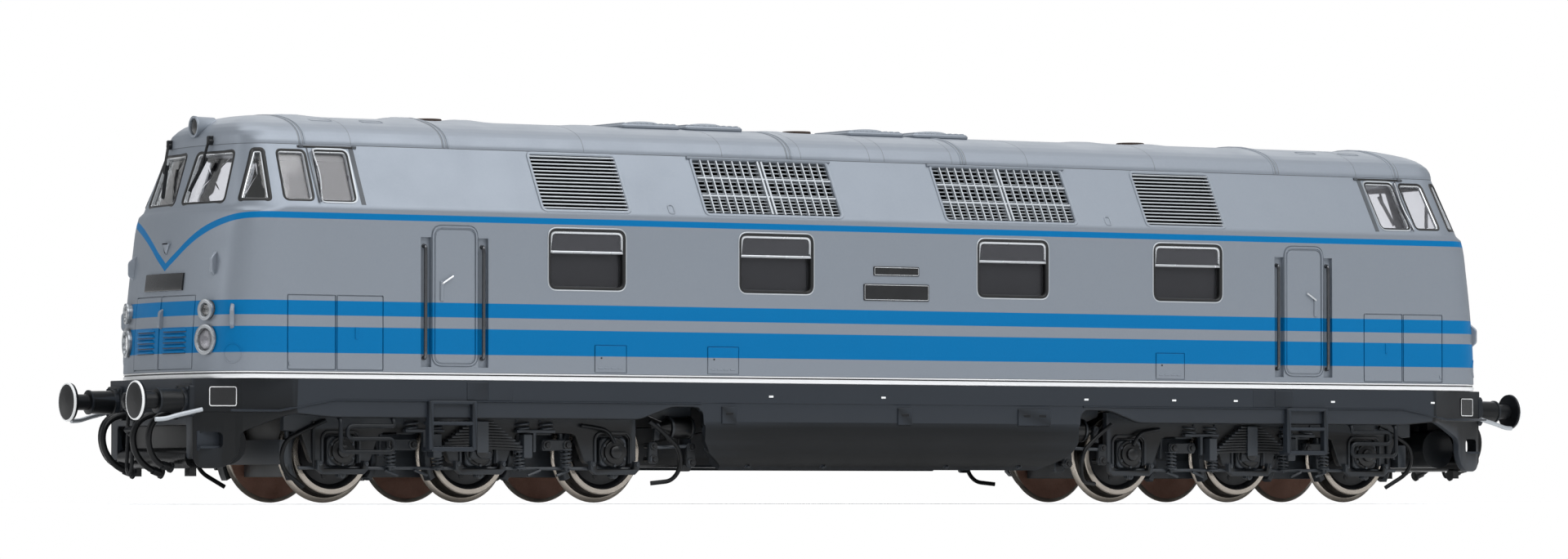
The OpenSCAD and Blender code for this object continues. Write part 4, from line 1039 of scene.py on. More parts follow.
def make_engine_windows(look):
    """Engine-room windows: black gasket, silver drop pane with its rail, lower pane set back."""
    solids = []
    w, h, low = ENGINE_WINDOW
    rail_z = low + h * 0.6
    for x in ENGINE_WINDOW_XS:
        mid = low + h / 2
        ring = oblong(x, mid, w, h, 1.2, 6)
        path = stand(ring, "y", HALF - 0.02)
        gasket = [[-0.06, -0.9], [0.34, -0.9], [0.34, -0.12], [0.2, 0.03], [0.0, 0.05], [-0.06, 0.0]]
        solids.append(carry(gasket, path, (0, 1, 0), "gasket", ring=True))
        pale = [[-0.22, -0.1], [-0.06, -0.1], [-0.06, 0.05], [-0.15, 0.08], [-0.22, 0.03]]
        solids.append(carry(pale, path, (0, 1, 0), "trim_lacquer", ring=True))
        top = rounded([[x - w / 2 + 0.3, rail_z], [x + w / 2 - 0.3, rail_z], [x + w / 2 - 0.3, low + h - 0.3],
                       [x - w / 2 + 0.3, low + h - 0.3]], 0.9, 6)
        top = np.concatenate([[[x - w / 2 + 0.3, rail_z], [x + w / 2 - 0.3, rail_z]],
                              top[12:]])
        bar = [[-0.02, -0.35], [0.3, -0.35], [0.3, -0.02], [0.2, 0.05], [0.05, 0.05], [-0.02, -0.02]]
        solids.append(carry(bar, stand(top, "y", HALF - 0.12), (0, 1, 0), "silver", ring=True))
        solids.append(plate(top, HALF - 0.42, HALF - 0.24, "y", "smoke_glass", 0.01))
        lower = oblong(x, mid - 0.3, w - 0.5, h - 0.9, 1.0, 6)
        solids.append(plate(lower, HALF - 1.05, HALF - 0.8, "y", "deep_glass", 0.01))
        solids.append(carry([[0, -0.1], [0.12, -0.1], [0.12, 0.02], [0, 0.02]],
                            stand(oblong(x, mid - 0.3, w - 1.0, h - 1.3, 0.9, 6), "y", HALF - 0.78),
                            (0, 1, 0), "wire", ring=True))
    build("engine_room_windows", "chassis", "window_frame", copies(solids, ends=False),
          ("side_window_glazing", "side_window_frames"))


def make_grilles(look):
    """Louvre grilles of slanted slats, and lattice grilles of upright fins before small shutters."""
    louvres, lattices = [], []
    h = PANEL - 0.1
    count = 15
    rim = [[-0.26, -0.5], [0.24, -0.5], [0.24, 0.02], [0.12, 0.14], [-0.16, 0.14], [-0.26, 0.02]]
    for width, store in ((LOUVRE_W, louvres), (MESH_W, lattices)):
        ring = stand(oblong(0, PANEL / 2, width + 0.1, h - 0.5, 0.7), "y", 0.0)
        store.append(carry(rim, ring, (0, 1, 0), "roof_lacquer", ring=True))
        # Behind each grille a near-black sheet is painted shade.
        store.append(plate(rect(-width / 2, PANEL / 2 - h / 2 + 0.25, width / 2, PANEL / 2 + h / 2 - 0.25),
                           -1.5, -1.3, "y", "void", 0.01))
    # Slats, fins and shutters are lighter than the body: painted highlight on their tops.
    pitch = (h - 0.9) / count
    slat = rounded(rect(-0.08, -0.1, 0.08, 0.1), 0.07, 3)
    for k in range(count):
        z = PANEL / 2 - h / 2 + 0.45 + pitch * (k + 0.5)
        grid = np.stack([np.stack([np.full(len(slat), x), slat[:, 0], slat[:, 1] + z], -1)
                         for x in (-LOUVRE_W / 2 + 0.15, LOUVRE_W / 2 - 0.15)])
        louvres.append(closed(grid, "trim_lacquer"))
    low, high = PANEL / 2 - h / 2 + 0.5, PANEL / 2 + h / 2 - 0.5
    row = (high - low) / 3
    half_w = MESH_W / 2 - 0.2
    for z in (low + row, low + 2 * row):
        lattices.append(block((-half_w, half_w), (-0.7, 0.08), (z - 0.13, z + 0.13), "trim_lacquer", 0.05))
    for x in (-0.3, 0.3):
        lattices.append(block((x - 0.14, x + 0.14), (-0.8, 0.14), (low, high), "trim_lacquer", 0.05))
    for s in (-1, 1):
        for k in range(1, 8):
            x = s * (0.5 + (half_w - 0.5) * k / 8)
            lattices.append(block((x - 0.09, x + 0.09), (-0.4, 0.06), (low, high), "trim_lacquer", 0.04))
    for r in range(3):
        shutters = 5 if r == 0 else 4
        for k in range(shutters):
            z = low + row * r + 0.2 + (row - 0.3) * (k + 0.5) / shutters
            grid = np.stack([np.stack([np.full(4, x), [-0.42, -0.2, -0.16, -0.42],
                                       np.array([-0.04, -0.1, 0.0, 0.08]) + z], -1)
                             for x in (-half_w, half_w)])
            lattices.append(closed(grid, "trim_lacquer"))
    for name, solids, x, node in (("louvre_panels", louvres, LOUVRE_X, "louvre_grilles"),
                                  ("lattice_panels", lattices, MESH_X, "mesh_grilles")):
        placed = on_panel(solids, x) + on_panel(solids, -x)
        build(name, "chassis", "grille_plastic", copies(placed, ends=False), (node,))


def bars(low_high, paint, edge=0.06):
    """Several bevelled blocks at once from rows of x0, x1, y0, y1, z0, z1."""
    return [block(r[0:2], r[2:4], r[4:6], paint, edge) for r in low_high]


def make_nose_fittings(look):
    """Hatch louvres, catch, boss and grab handles, lamps with their lenses, wipers and plates."""
    solids = []
    hood = np.array([[0.04, -0.2], [0.04, 0.34], [-0.04, 0.42], [-0.24, 0.3], [-0.42, 0.02], [-0.42, -0.2]])
    under = [[0.0, -0.1], [0.14, -0.1], [0.14, 0.03], [0.0, 0.03]]
    for z in 18.5 + 0.7 * np.arange(5):
        y = np.linspace(1.3, 7.0, 11)
        base, look_x = look_points(np.stack([y, np.full(11, z)], -1), "front")
        path = on_skin(base, look_x)
        out = skin_normals(path, look_x)
        grid = carry(hood, path, out, "lacquer")[0].reshape(11, 6, 3)
        ease = np.minimum(1, np.minimum(y - 1.3, 7.0 - y) / 0.57 * 0.6 + 0.4)
        grid = path[:, None] + (grid - path[:, None]) * ease[:, None, None]
        solids.append(closed(grid, "lacquer"))
        # A dark grey strip under each louvre hood is its painted shadow.
        solids.append(carry(under, path, out, "shade"))
    catch = rounded([[NOSE - 1.2, 21.2], [NOSE + 0.35, 21.9], [NOSE + 0.15, 24.0], [NOSE - 1.3, 24.7]], 0.3,
                    3)
    for x, y, low, high in ((NOSE - 3.0, 11.5, 28.0, 31.7), (NOSE - 3.15, 15.25, 21.1, 24.9)):
        way = unit(np.array([0.55, 0.83, 0.0]) if y > 13 else np.array([0.9, 0.35, 0.0]))
        ends = on_skin(np.array([[x - 4 * way[0], y - 4 * way[1], z] for z in (low, high)]), way)
        bow = rounded([[-0.5, 0], [0.62, 0.95], [0.62, high - low - 0.95], [-0.5, high - low]], 0.3, 3)
        side = np.cross([0, 0, 1], way)
        rows = [ends[0] + o[:, :1] * way + o[:, 1:] * [0, 0, 1] + d * side
                for o, d in ((shrink(bow, 0.08), -0.26), (bow, -0.17), (bow, 0.17),
                             (shrink(bow, 0.08), 0.26))]
        solids.append(closed(np.stack(rows), "roof_lacquer"))
    solids.append(bead(circle(1.25, 32) + [-2.0, 18.3], "corner",
                       [[-0.1, -0.1], [0.1, -0.1], [0.05, 0.08], [-0.05, 0.08]], "lacquer"))
    boss = rounded([[-0.95, 32.95], [0.95, 32.95], [0, 31.35]], 0.15, 3)
    centre = [plate(boss, NOSE - 2.1, NOSE - 0.95, "x", "roof_lacquer", 0.2),
              plate(catch, 0.25, 0.75, "y", "roof_lacquer", 0.1)]
    build("nose_fittings", "chassis", "body_plastic", copies(solids) + copies(centre, sides=False))

    solids = []
    for (z, r), back in zip(LAMPS, ("reflector", "plate")):
        cup = [(-2.6, 0.05), (-2.6, r - 0.03), (0.1, r - 0.03), (0.12, r + 0.16), (0.34, r + 0.12),
               (0.42, r - 0.12), (0.36, r - 0.34), (0.05, r - 0.46)]
        solids.append(turn(cup + [(-0.35, r - 0.5), (-0.36, 0.05)],
                           (NOSE - 1.25, LAMP_Y, z), LAMP_WAY, "lamp_ring", 40))
        dish = [(-0.34, 0.05), (-0.34, r - 0.55), (-0.05, r - 0.55), (-0.08, r - 0.66), (-0.28, 0.45 * r),
                (-0.31, 0.06)]
        solids.append(turn(dish, (NOSE - 1.22, LAMP_Y, z), LAMP_WAY, back, 40))
        lens = [(-0.16, 0.05), (-0.16, r - 0.6), (-0.04, r - 0.6), (0.1, 0.55 * r), (0.16, 0.25 * r),
                (0.17, 0.05)]
        solids.append(turn(lens, (NOSE - 1.15, LAMP_Y, z), LAMP_WAY, "glass", 40))
    centre = [turn([(-2.9, 0.05), (-2.9, 1.28), (-0.45, 1.34), (-0.3, 1.42), (0, 1.42), (0.05, 1.3),
                    (0, 1.12), (-0.5, 1.08), (-0.55, 0.05)], ROOF_LAMP, "x", "roof_lacquer", 40),
              turn([(-0.52, 0.05), (-0.52, 1.06), (-0.2, 1.04), (-0.1, 0.6), (-0.07, 0.05)],
                   ROOF_LAMP, "x", "plate", 32)]
    build("lamp_units", "chassis", "lamp_ring", copies(solids) + copies(centre, sides=False), ("headlamps",))

    solids = []
    for arm, wipe in ((((4.46, 46.0), (4.4, 43.0)), ((4.5, 43.9), (2.7, 39.6))),
                      (((-8.5, 46.0), (-7.0, 42.4)), ((-7.4, 43.4), (-5.1, 39.0)))):
        y0 = arm[0][0]
        ends = on_skin(np.array([[NOSE - 20, y, z] for y, z in arm]), (1, 0, 0))
        out = ends + [0.5, 0, 0.08]
        solids.append(tube(np.concatenate([ends[:1] + [0.1, 0, 0], out, ends[1:] + [0.2, 0, 0]]), 0.19,
                           "black", 0.25))
        t = np.linspace(0, 1, 5)[:, None]
        blade = np.array([[NOSE - 20, *wipe[0]]]) * (1 - t) + np.array([[NOSE - 20, *wipe[1]]]) * t
        blade = on_skin(blade, (1, 0, 0)) + [0.2, 0, 0.04]
        solids.append(carry([[-0.15, -0.2], [0.15, -0.2], [0.1, 0.24], [-0.1, 0.24]], blade, (1, 0, 0.3),
                            "black"))
        solids.append(turn([(-0.4, 0.05), (-0.4, 0.46), (0.42, 0.42), (0.52, 0.3), (0.54, 0.05)],
                           ends[0] + [0.1, 0, 0.1], "x", "black", 16))
        solids.append(block((ends[0][0] - 0.2, ends[0][0] + 0.6), (y0 - 0.28, y0 + 0.28),
                            (ends[0][2] - 0.2, ends[0][2] + 0.9), "black", 0.1))
    build("wiper_arms", "chassis", "wire", copies(solids, sides=False), ("wipers",))

    solids = []
    for y, w, h, z in ((HALF, 10.6, 2.3, 27.65), (HALF - 0.02, 7.4, 1.3, 30.55)):
        for s in (-1, 1):
            low, high = sorted((s * (y - 0.2), s * (y + 0.14)))
            solids.append(plate(oblong(0, z, w, h, 0.2, 3), low, high, "y", "plate", 0.04))
            rim = stand(oblong(0, z, w - 0.3, h - 0.3, 0.15, 3), "y", s * (y + 0.13))
            solids.append(carry(oblong(0, 0, 0.08, 0.08, 0.03, 2), rim, (0, s, 0), "silver", ring=True))
    end_half = 5.4
    for s in (-1, 1):
        t = np.linspace(-1, 1, 13)
        base, way = look_points(np.stack([end_half * t, np.full(13, 27.75)], -1), "front")
        path = on_skin(base, way)
        face = carry(oblong(0, 0, 2.3, 0.5, 0.1, 2), path, (1, 0, 0.12), "plate")
        verts = face[0] * ([1, 1, 1] if s > 0 else [-1, -1, 1])
        solids.append((verts, face[1], "plate"))
    build("blank_plates", "chassis", "plate_black", solids, ("number_plates",))


def make_doors(look):
    """Door leaves with bead and lever, rails in their pockets, low hatches and roof clips."""
    leaf = [plate(oblong(DOOR_X, 26.0, 5.8, 17.4, 1.1, 8), HALF - 0.3, HALF + 0.07, "y", "lacquer", 0.05)]
    rim = stand(oblong(DOOR_X, 26.1, 6.5, 18.1, 1.35, 8), "y", HALF)
    leaf.append(carry([[-0.16, -0.2], [0.16, -0.2], [0.1, 0.09], [-0.1, 0.09]], rim, (0, 1, 0), "lacquer",
                      ring=True))
    lever_x = DOOR_X + 2.0
    leaf.append(plate(oblong(lever_x, 26.7, 0.5, 2.7, 0.24, 4), HALF, HALF + 0.3, "y", "roof_lacquer", 0.1))
    # The lever rod is silver as painted highlight on a grey metal lever.
    leaf.append(tube([(lever_x, HALF, 27.7), (lever_x, HALF + 0.32, 27.7),
                      (lever_x - 1.6, HALF + 0.32, 28.7)],
                     0.15, "silver", 0.25))
    for x, z in ((83.4, 21.0), (DOOR_X + 24.3, 17.0)):
        leaf.append(plate(oblong(x, z, 0.34, 1.5 if z > 20 else 0.5, 0.15, 3), HALF - 0.2, HALF + 0.14, "y",
                          "lacquer", 0.05))
    rails = []
    foot, head = 17.9, 32.6
    for s in (-1, 1):
        x = DOOR_X + s * 4.35
        rails.append(tube([(x, HALF - 0.65, foot), (x, HALF - 0.1, foot), (x, HALF - 0.02, 18.5),
                           (x, HALF - 0.02, 32.0), (x, HALF - 0.1, head), (x, HALF - 0.65, head)],
                          0.24, "wire", 0.4, sides=12))
        for z in (foot, head):
            rails.append(turn([(-0.3, 0.05), (-0.3, 0.3), (0.12, 0.3), (0.16, 0.05)], (x, HALF - 0.62, z),
                              "y", "wire", 12))
    build("door_leaves", "chassis", "body_plastic", copies(leaf))
    build("door_rails", "chassis", "wire", copies(rails), ("door_handrails",))
    vents = []
    for x in LOW_HATCHES:
        vents.append(plate(rect(x + 0.06, 16.3, x + 4.84, 19.85), HALF - 0.2, HALF + 0.08, "y", "lacquer",
                           0.07))
        for k in range(4):
            vents.append(block((x + 0.5 + 1.02 * k, x + 1.2 + 1.02 * k), (HALF - 0.2, HALF + 0.15),
                               (16.75, 16.95), "lacquer", 0.04))
        vents.append(turn([(-0.2, 0.05), (-0.2, 0.13), (0.12, 0.12), (0.13, 0.05)], (x + 1.0, HALF, 18.2),
                          "y", "gasket", 10))
    build("low_hatches", "chassis", "body_plastic", copies(vents, ends=False))
    clips = []
    for s in (-1, 1):
        x0, x1 = sorted((s * 7.9, s * 30.7))
        clips.append(plate(rect(x0, EAVES - 0.36, x1, EAVES - 0.05), EAVES_HALF - 0.3, EAVES_HALF + 0.44, "y",
                           "roof_lacquer", 0.06))
        eye = stand(oblong(0, 0.95, 0.85, 1.35, 0.4, 5), "y", 0.0)
        clips += on_panel([carry(circle(0.12, 8), eye, (0, 1, 0), "roof_lacquer", ring=True)], s * 35.45)
    build("roof_clips", "chassis", "body_plastic", copies(clips, ends=False))


def ring_band(rows, paint):
    """A closed hoop round the body from (height, inset) pairs, its back 1.2 under the skin."""
    loops = [stand(full_ring(quarter(body_level(z), inset, side_steps=4)), "z", z) for z, inset in rows]
    back = [stand(full_ring(quarter(body_level(z), 1.15, side_steps=4)), "z", z)
            for z in (rows[-1][0], rows[0][0])]
    return closed(np.stack(loops + back), paint, wrap_rows=True)


def make_trim_lines(look):
    """The sill strip in three bands, the dark joint under the roof and the shades at the cabs."""
    bands = [ring_band([(STRIP, 0.12), (STRIP + 0.06, 0.02), (STRIP + 0.3, -0.02), (STRIP + 0.54, 0.02),
                        (STRIP + 0.58, 0.14)], "foil"),
             ring_band([(STRIP + 0.58, 0.14), (STRIP + 0.74, 0.14)], "gasket"),
             ring_band([(STRIP + 0.74, 0.14), (STRIP + 0.76, 0.04), (SILL - 0.06, 0.04),
                        (SILL - 0.01, 0.12)], "foil")]
    build("sill_bands", "chassis", "strip_silver", bands, ("sill_strip",))
    joint = [ring_band([(EAVES - 0.05, 0.02), (EAVES - 0.02, -0.03), (EAVES + 0.02, -0.03),
                        (EAVES + 0.03, 0.02)], "shade")]
    build("roof_joint", "chassis", "body_plastic", joint)
    t = np.linspace(0, 1, 6)[:, None]
    shades = []
    # Thin dark grey strips at the back edge of each cab window are painted shade for the recess there.
    for a, b, half in (((NOSE - 21.25, WAIST + 0.35), (NOSE - 21.5, EAVES - 0.4), 0.34),
                       ((NOSE - 14.72, WAIST + 0.5), (NOSE - 15.0, EAVES - 0.5), 0.12)):
        base, way = look_points(np.array(a) * (1 - t) + np.array(b) * t, "side")
        path = on_skin(base, way)
        shades.append(carry([[-half, -0.3], [half, -0.3], [half, 0.02], [-half, 0.02]], path,
                            skin_normals(path, way), "shade"))
    gutter = [(NOSE - 22.3, EAVES_HALF + 0.2, EAVES - 0.3), (NOSE - 13.7, EAVES_HALF + 0.2, EAVES - 0.3)]
    shades.append(carry(oblong(0, 0, 0.34, 0.24, 0.08), gutter, (0, 0.5, 1), "gasket"))
    for x in (NOSE - 22.0, NOSE - 14.2):
        shades.append(block((x - 0.3, x + 0.3), (EAVES_HALF - 0.3, EAVES_HALF + 0.4),
                            (EAVES - 0.45, EAVES - 0.1), "shade", 0.05))
    build("cab_shades", "chassis", "body_plastic", copies(shades))


# Hem of the skirts, the notch over the tank, where the plan starts to taper, half the beam.
SKIRT_Z, NOTCH_X, NOTCH_Z, TAPER_X, BEAM_HALF = 10.05, 30.6, 11.75, NOSE - 11, 12.0


def skirt_path():
    """Lower edge of the skirts over one quarter: mid-length, notch, taper, corner plate, beam."""
    side = np.array([[0, 9.05], [NOTCH_X - 0.05, 9.05], [NOTCH_X, NOTCH_Z - 0.8], [NOTCH_X + 0.8, NOTCH_Z],
                     [35.5, NOTCH_Z], [40.5, SKIRT_Z], [TAPER_X - 6, SKIRT_Z], [TAPER_X, SKIRT_Z + 0.5],
                     [NOSE - 9, 9.9], [NOSE - 4.68, 8.1], [NOSE - 4.65, 5.9], [NOSE - 4.0, 4.5],
                     [NOSE - 2.6, 3.45], [BEAM - 0.8, 3.45], [BEAM, 4.65]])
    side = soften(np.insert(side, 1, 0, axis=1), 0.9, 5)[:, [0, 2]]
    fine = [np.linspace(a, b, max(2, int(np.hypot(*(b - a)) / 3)), endpoint=False)
            for a, b in zip(side, side[1:])]
    side = np.concatenate(fine + [side[-1:]])
    x, z = side[:, 0], side[:, 1]
    y = np.where(x < TAPER_X, FRAME_HALF,
                 FRAME_HALF - (x - TAPER_X) * (FRAME_HALF - BEAM_HALF) / (BEAM - TAPER_X))
    slope = math.degrees(math.atan2(FRAME_HALF - BEAM_HALF, BEAM - TAPER_X))
    turned = np.interp(x, [TAPER_X - 0.6, TAPER_X + 0.6, BEAM - 0.3, BEAM], [0, slope, slope, 57])
    across = np.array([[11.7, 4.65], [10.3, 4.65], [10.15, 4.8], [10.1, 8.7], [9.9, 9.0], [6, 9.0], [3, 9.0],
                       [0.0, 9.0]])
    beam_turn = np.interp(across[:, 0], [11.4, 12], [90, 57])
    points = np.concatenate([np.stack([x, y, z], -1),
                             np.stack([np.full(len(across), BEAM), across[:, 0], across[:, 1]], -1)])
    angle = np.radians(np.concatenate([turned, beam_turn]))
    return points, np.stack([np.sin(angle), np.cos(angle)], -1)


def make_underframe(look):
    """Skirts carried round the plan with a folded ridge and rounded hem, a floor and the tank.

    Each row of the skirt is the plan's line moved inwards by an inset at one height, and the
    tank's side is one section widened along x as its height grows.
    """
    points, out = skirt_path()
    x = points[:, 0]
    ridge = np.where(out[:, 0] > 0.9, 12.0, np.interp(x, [86.4, TAPER_X + 1.5, BEAM], [12.37, 10.75, 10.75]))
    hem = points[:, 2]
    ridge = np.maximum(ridge, hem + 0.35)
    rows = [(1.0, hem * 0 + FLOOR), (1.0, hem * 0 + STRIP), (0.07, hem * 0 + STRIP),
            (0, hem * 0 + STRIP - 0.07),
            (0, ridge + 0.05), (0.12, ridge - 0.07), (0.12, hem + 0.24), (0.18, hem + 0.08), (0.34, hem),
            (0.85, hem), (1.0, hem + 0.12)]
    q = np.stack([np.concatenate([points[:, :2] - out * inset, z[:, None]], 1) for inset, z in rows])
    loop = np.concatenate([q, q[:, ::-1][:, 1:] * [1, -1, 1], q[:, 1:] * [-1, -1, 1],
                           q[:, ::-1][:, 1:-1] * [-1, 1, 1]], 1)
    skirt = closed(loop, "frame", wrap_rows=True)
    piece = build("skirt_band", "chassis", "frame_plastic", [skirt], ("underframe",), sharp=30)
    holes = [plate(oblong(NOSE - 1.24, 7.1, 2.9, 2.1, 0.7, 6), 10, 20, "y", "frame", 0.001)]
    carve(piece, [copies(holes)])
    plan = np.array([[BEAM, BEAM_HALF], [TAPER_X, FRAME_HALF], [-TAPER_X, FRAME_HALF], [-BEAM, BEAM_HALF],
                     [-BEAM, -BEAM_HALF], [-TAPER_X, -FRAME_HALF], [TAPER_X, -FRAME_HALF],
                     [BEAM, -BEAM_HALF]])
    floor = build("floor_plate", "chassis", "frame_plastic",
                  [plate(shrink(plan, 1.05), FLOOR, STRIP - 0.02, "z", "frame", 0.02)])
    carve(floor, [[turn([(-2, 4.3), (3, 4.3)], (s * PIVOT, 0, FLOOR), "z", "frame", 40) for s in (-1, 1)]])
    shelf = [block((NOSE - 2.8, NOSE + 0.3), (FRAME_HALF - 6, FRAME_HALF - 4.35), (6.0, 6.35), "frame", 0.05)]
    way = unit(np.array([BEAM - TAPER_X, BEAM_HALF - FRAME_HALF, 0.0]))
    face = np.array([-way[1], way[0], 0])
    centre = np.array([NOSE - 2.62, 13.63, 12.75]) + face * 0.04
    corners = np.array([[-1.85, -1.35], [1.85, -1.35], [1.85, 1.35], [-1.85, 1.35]])
    card = rounded(corners, 0.3, 4)
    flat = [centre + card[:, :1] * way + card[:, 1:] * [0, 0, 1] + face * d for d in (-0.1, 0.05)]
    shelf.append(closed(np.stack(flat), "plate"))
    rim = centre + card[:, :1] * 0.93 * way + card[:, 1:] * 0.9 * [0, 0, 1] + face * 0.05
    shelf.append(carry(oblong(0, 0, 0.11, 0.05, 0.02, 2), rim, face, "white", ring=True))
    shade = block((-NOSE - 0.4, -NOSE + 2.9), (12.0, 12.3), (5.7, 8.3), "frame", 0.05)
    build("corner_shelves", "chassis", "frame_plastic", copies(shelf) + copies([shade], ends=False))

    side = np.array([[FRAME_HALF - 1.1, FLOOR], [FRAME_HALF - 1.1, 9.85], [FRAME_HALF - 0.11, 9.85],
                     [FRAME_HALF - 0.11, 8.0], [FRAME_HALF - 0.3, 6.6], [FRAME_HALF - 0.85, 5.3],
                     [FRAME_HALF - 2.1, 4.2], [FRAME_HALF - 4.2, 3.45]])
    smooth = soften(np.insert(side, 0, 0, axis=1), 0.9, 4)[:, 1:]
    section = np.concatenate([smooth, smooth[::-1] * [-1, 1]])
    body = plate(shrink(section, 0.35), -25.6, 25.6, "x", "frame", 0.3)
    outer = np.concatenate([side[2:3], smooth[10:]])
    wall = np.concatenate([outer, shrink(np.concatenate([outer, [[0, 3.45], [0, 9.85]]]),
                                         0.9)[:len(outer)][::-1]])
    reach = np.interp(wall[:, 1], [3.4, 3.8, 5.5, 7.2, 9.5], [25.8, 26.2, 29.2, 30.3, 30.3])
    skin = np.stack([np.stack([s * reach * w, wall[:, 0], wall[:, 1]], -1)
                     for s, w in ((-1, 1), (-1, 0.5), (1, 0.5), (1, 1))])
    build("tank_body", "chassis", "frame_plastic", [body] + copies([closed(skin, "frame")], ends=False),
          ("fuel_tank",), sharp=30)


WHEEL_BACK, WHEEL_W, FLANGE = 7.15, 2.8, 6.75


def make_wheelsets(look):
    """Wheelsets: lathe profiles of tyre, dished centre, back disc and axle about each axle line."""
    b, f = WHEEL_BACK, WHEEL_BACK + WHEEL_W
    flange = [(b + 0.02, 5.2), (b + 0.02, 6.35), (b + 0.14, 6.6), (b + 0.38, FLANGE), (b + 0.6, 6.6),
              (b + 0.78, 6.2), (b + 0.84, 5.2)]
    tread = [(b + 0.8, 5.0), (b + 0.8, 6.1), (b + 1.1, TREAD + 0.04), (f - 0.24, TREAD - 0.03),
             (f - 0.24, 5.0)]
    rim = [(f - 0.3, 4.9), (f - 0.3, TREAD - 0.06), (f - 0.12, TREAD - 0.08), (f, TREAD - 0.2), (f, 4.98),
           (f - 0.1, 4.9)]
    front = [(f - 1.2, 0.5), (f - 1.2, 4.95), (f - 0.12, 4.92), (f - 0.2, 4.7), (f - 0.75, 4.3),
             (f - 0.85, 2.6),
             (f - 0.4, 1.9), (f - 0.1, 1.8), (f - 0.05, 0.9), (f + 0.1, 0.8), (f + 0.1, 0.05)]
    back = [(b - 0.02, 0.9), (b - 0.02, 6.2), (b + 0.3, 6.3), (b + 0.3, 0.9)]
    hub = [(b - 0.9, 0.95), (b - 0.9, 1.6), (b + 0.02, 1.9), (b + 0.02, 0.95)]
    t = np.arange(64) * 2 * np.pi / 64
    spoke = np.stack([np.cos(t), np.zeros(64), np.sin(t)], -1)
    for k in range(6):
        low, high = node_box(f"wheelset_{k + 1}")
        x = (low[0] + high[0]) / 2
        solids = []
        for s in (-1, 1):
            # The tread's dark finish is painted shade between the bright flange and rim.
            for profile, paint in ((flange, "nickel"), (tread, "tread"), (rim, "nickel"),
                                   (front, "wheel_black"), (back, "back_metal"), (hub, "wheel_black")):
                p = np.array(profile)
                rows = p[:, None, 1:] * spoke + np.array([0, 1, 0]) * s * p[:, None, :1] + [x, 0, TREAD]
                solids.append(closed(rows, paint, wrap_rows=profile is not front))
            for a in np.arange(6) * np.pi / 3 + 0.3:
                solids.append(turn([(f - 0.9, 0.05), (f - 0.9, 0.42), (f - 0.72, 0.36), (f - 0.7, 0.05)],
                                   (x + 3.3 * math.cos(a), 0, TREAD + 3.3 * math.sin(a)),
                                   (0, s, 0), "wheel_black", 10))
        solids.append(turn([(-b + 0.3, 0.05), (-b + 0.3, 1.0), (-2.6, 1.0), (-2.2, 1.25), (2.2, 1.25),
                            (2.6, 1.0),
                            (b - 0.3, 1.0), (b - 0.3, 0.05)], (x, 0, TREAD), "y", "wheel_black", 24))
        solids.append(turn([(-1.6, 1.2), (-1.6, 3.2), (-1.1, 3.3), (1.1, 3.3), (1.6, 3.2), (1.6, 1.2)],
                           (x, 0, TREAD), "y", "wheel_black", 40))
        build(f"wheel_pair_{k + 1}", f"axle_{k + 1}", "wheel_metal", solids, (f"wheelset_{k + 1}",))


def bogie_side_outline():
    """Outline of a bogie side: straight top, three pedestals with their horn gaps below."""
    foot = np.array([[-6.4, 8.2], [-5.7, 7.9], [-4.4, 4.6], [-4.0, 4.2], [-2.5, 4.2], [-2.45, 7.5],
                     [-2.0, 7.95],
                     [2.0, 7.95], [2.45, 7.5], [2.5, 4.2], [4.0, 4.2], [4.4, 4.6], [5.7, 7.9], [6.4, 8.2]])
    low = np.concatenate([foot + [x, 0] for x in (-AXLE_GAP, 0, AXLE_GAP)])
    low = low[(low[:, 0] > -24.2)]
    return np.concatenate([[[-24.2, 4.6]], low, [[28.9, 8.4], [28.9, 11.6], [-24.2, 11.6]]])


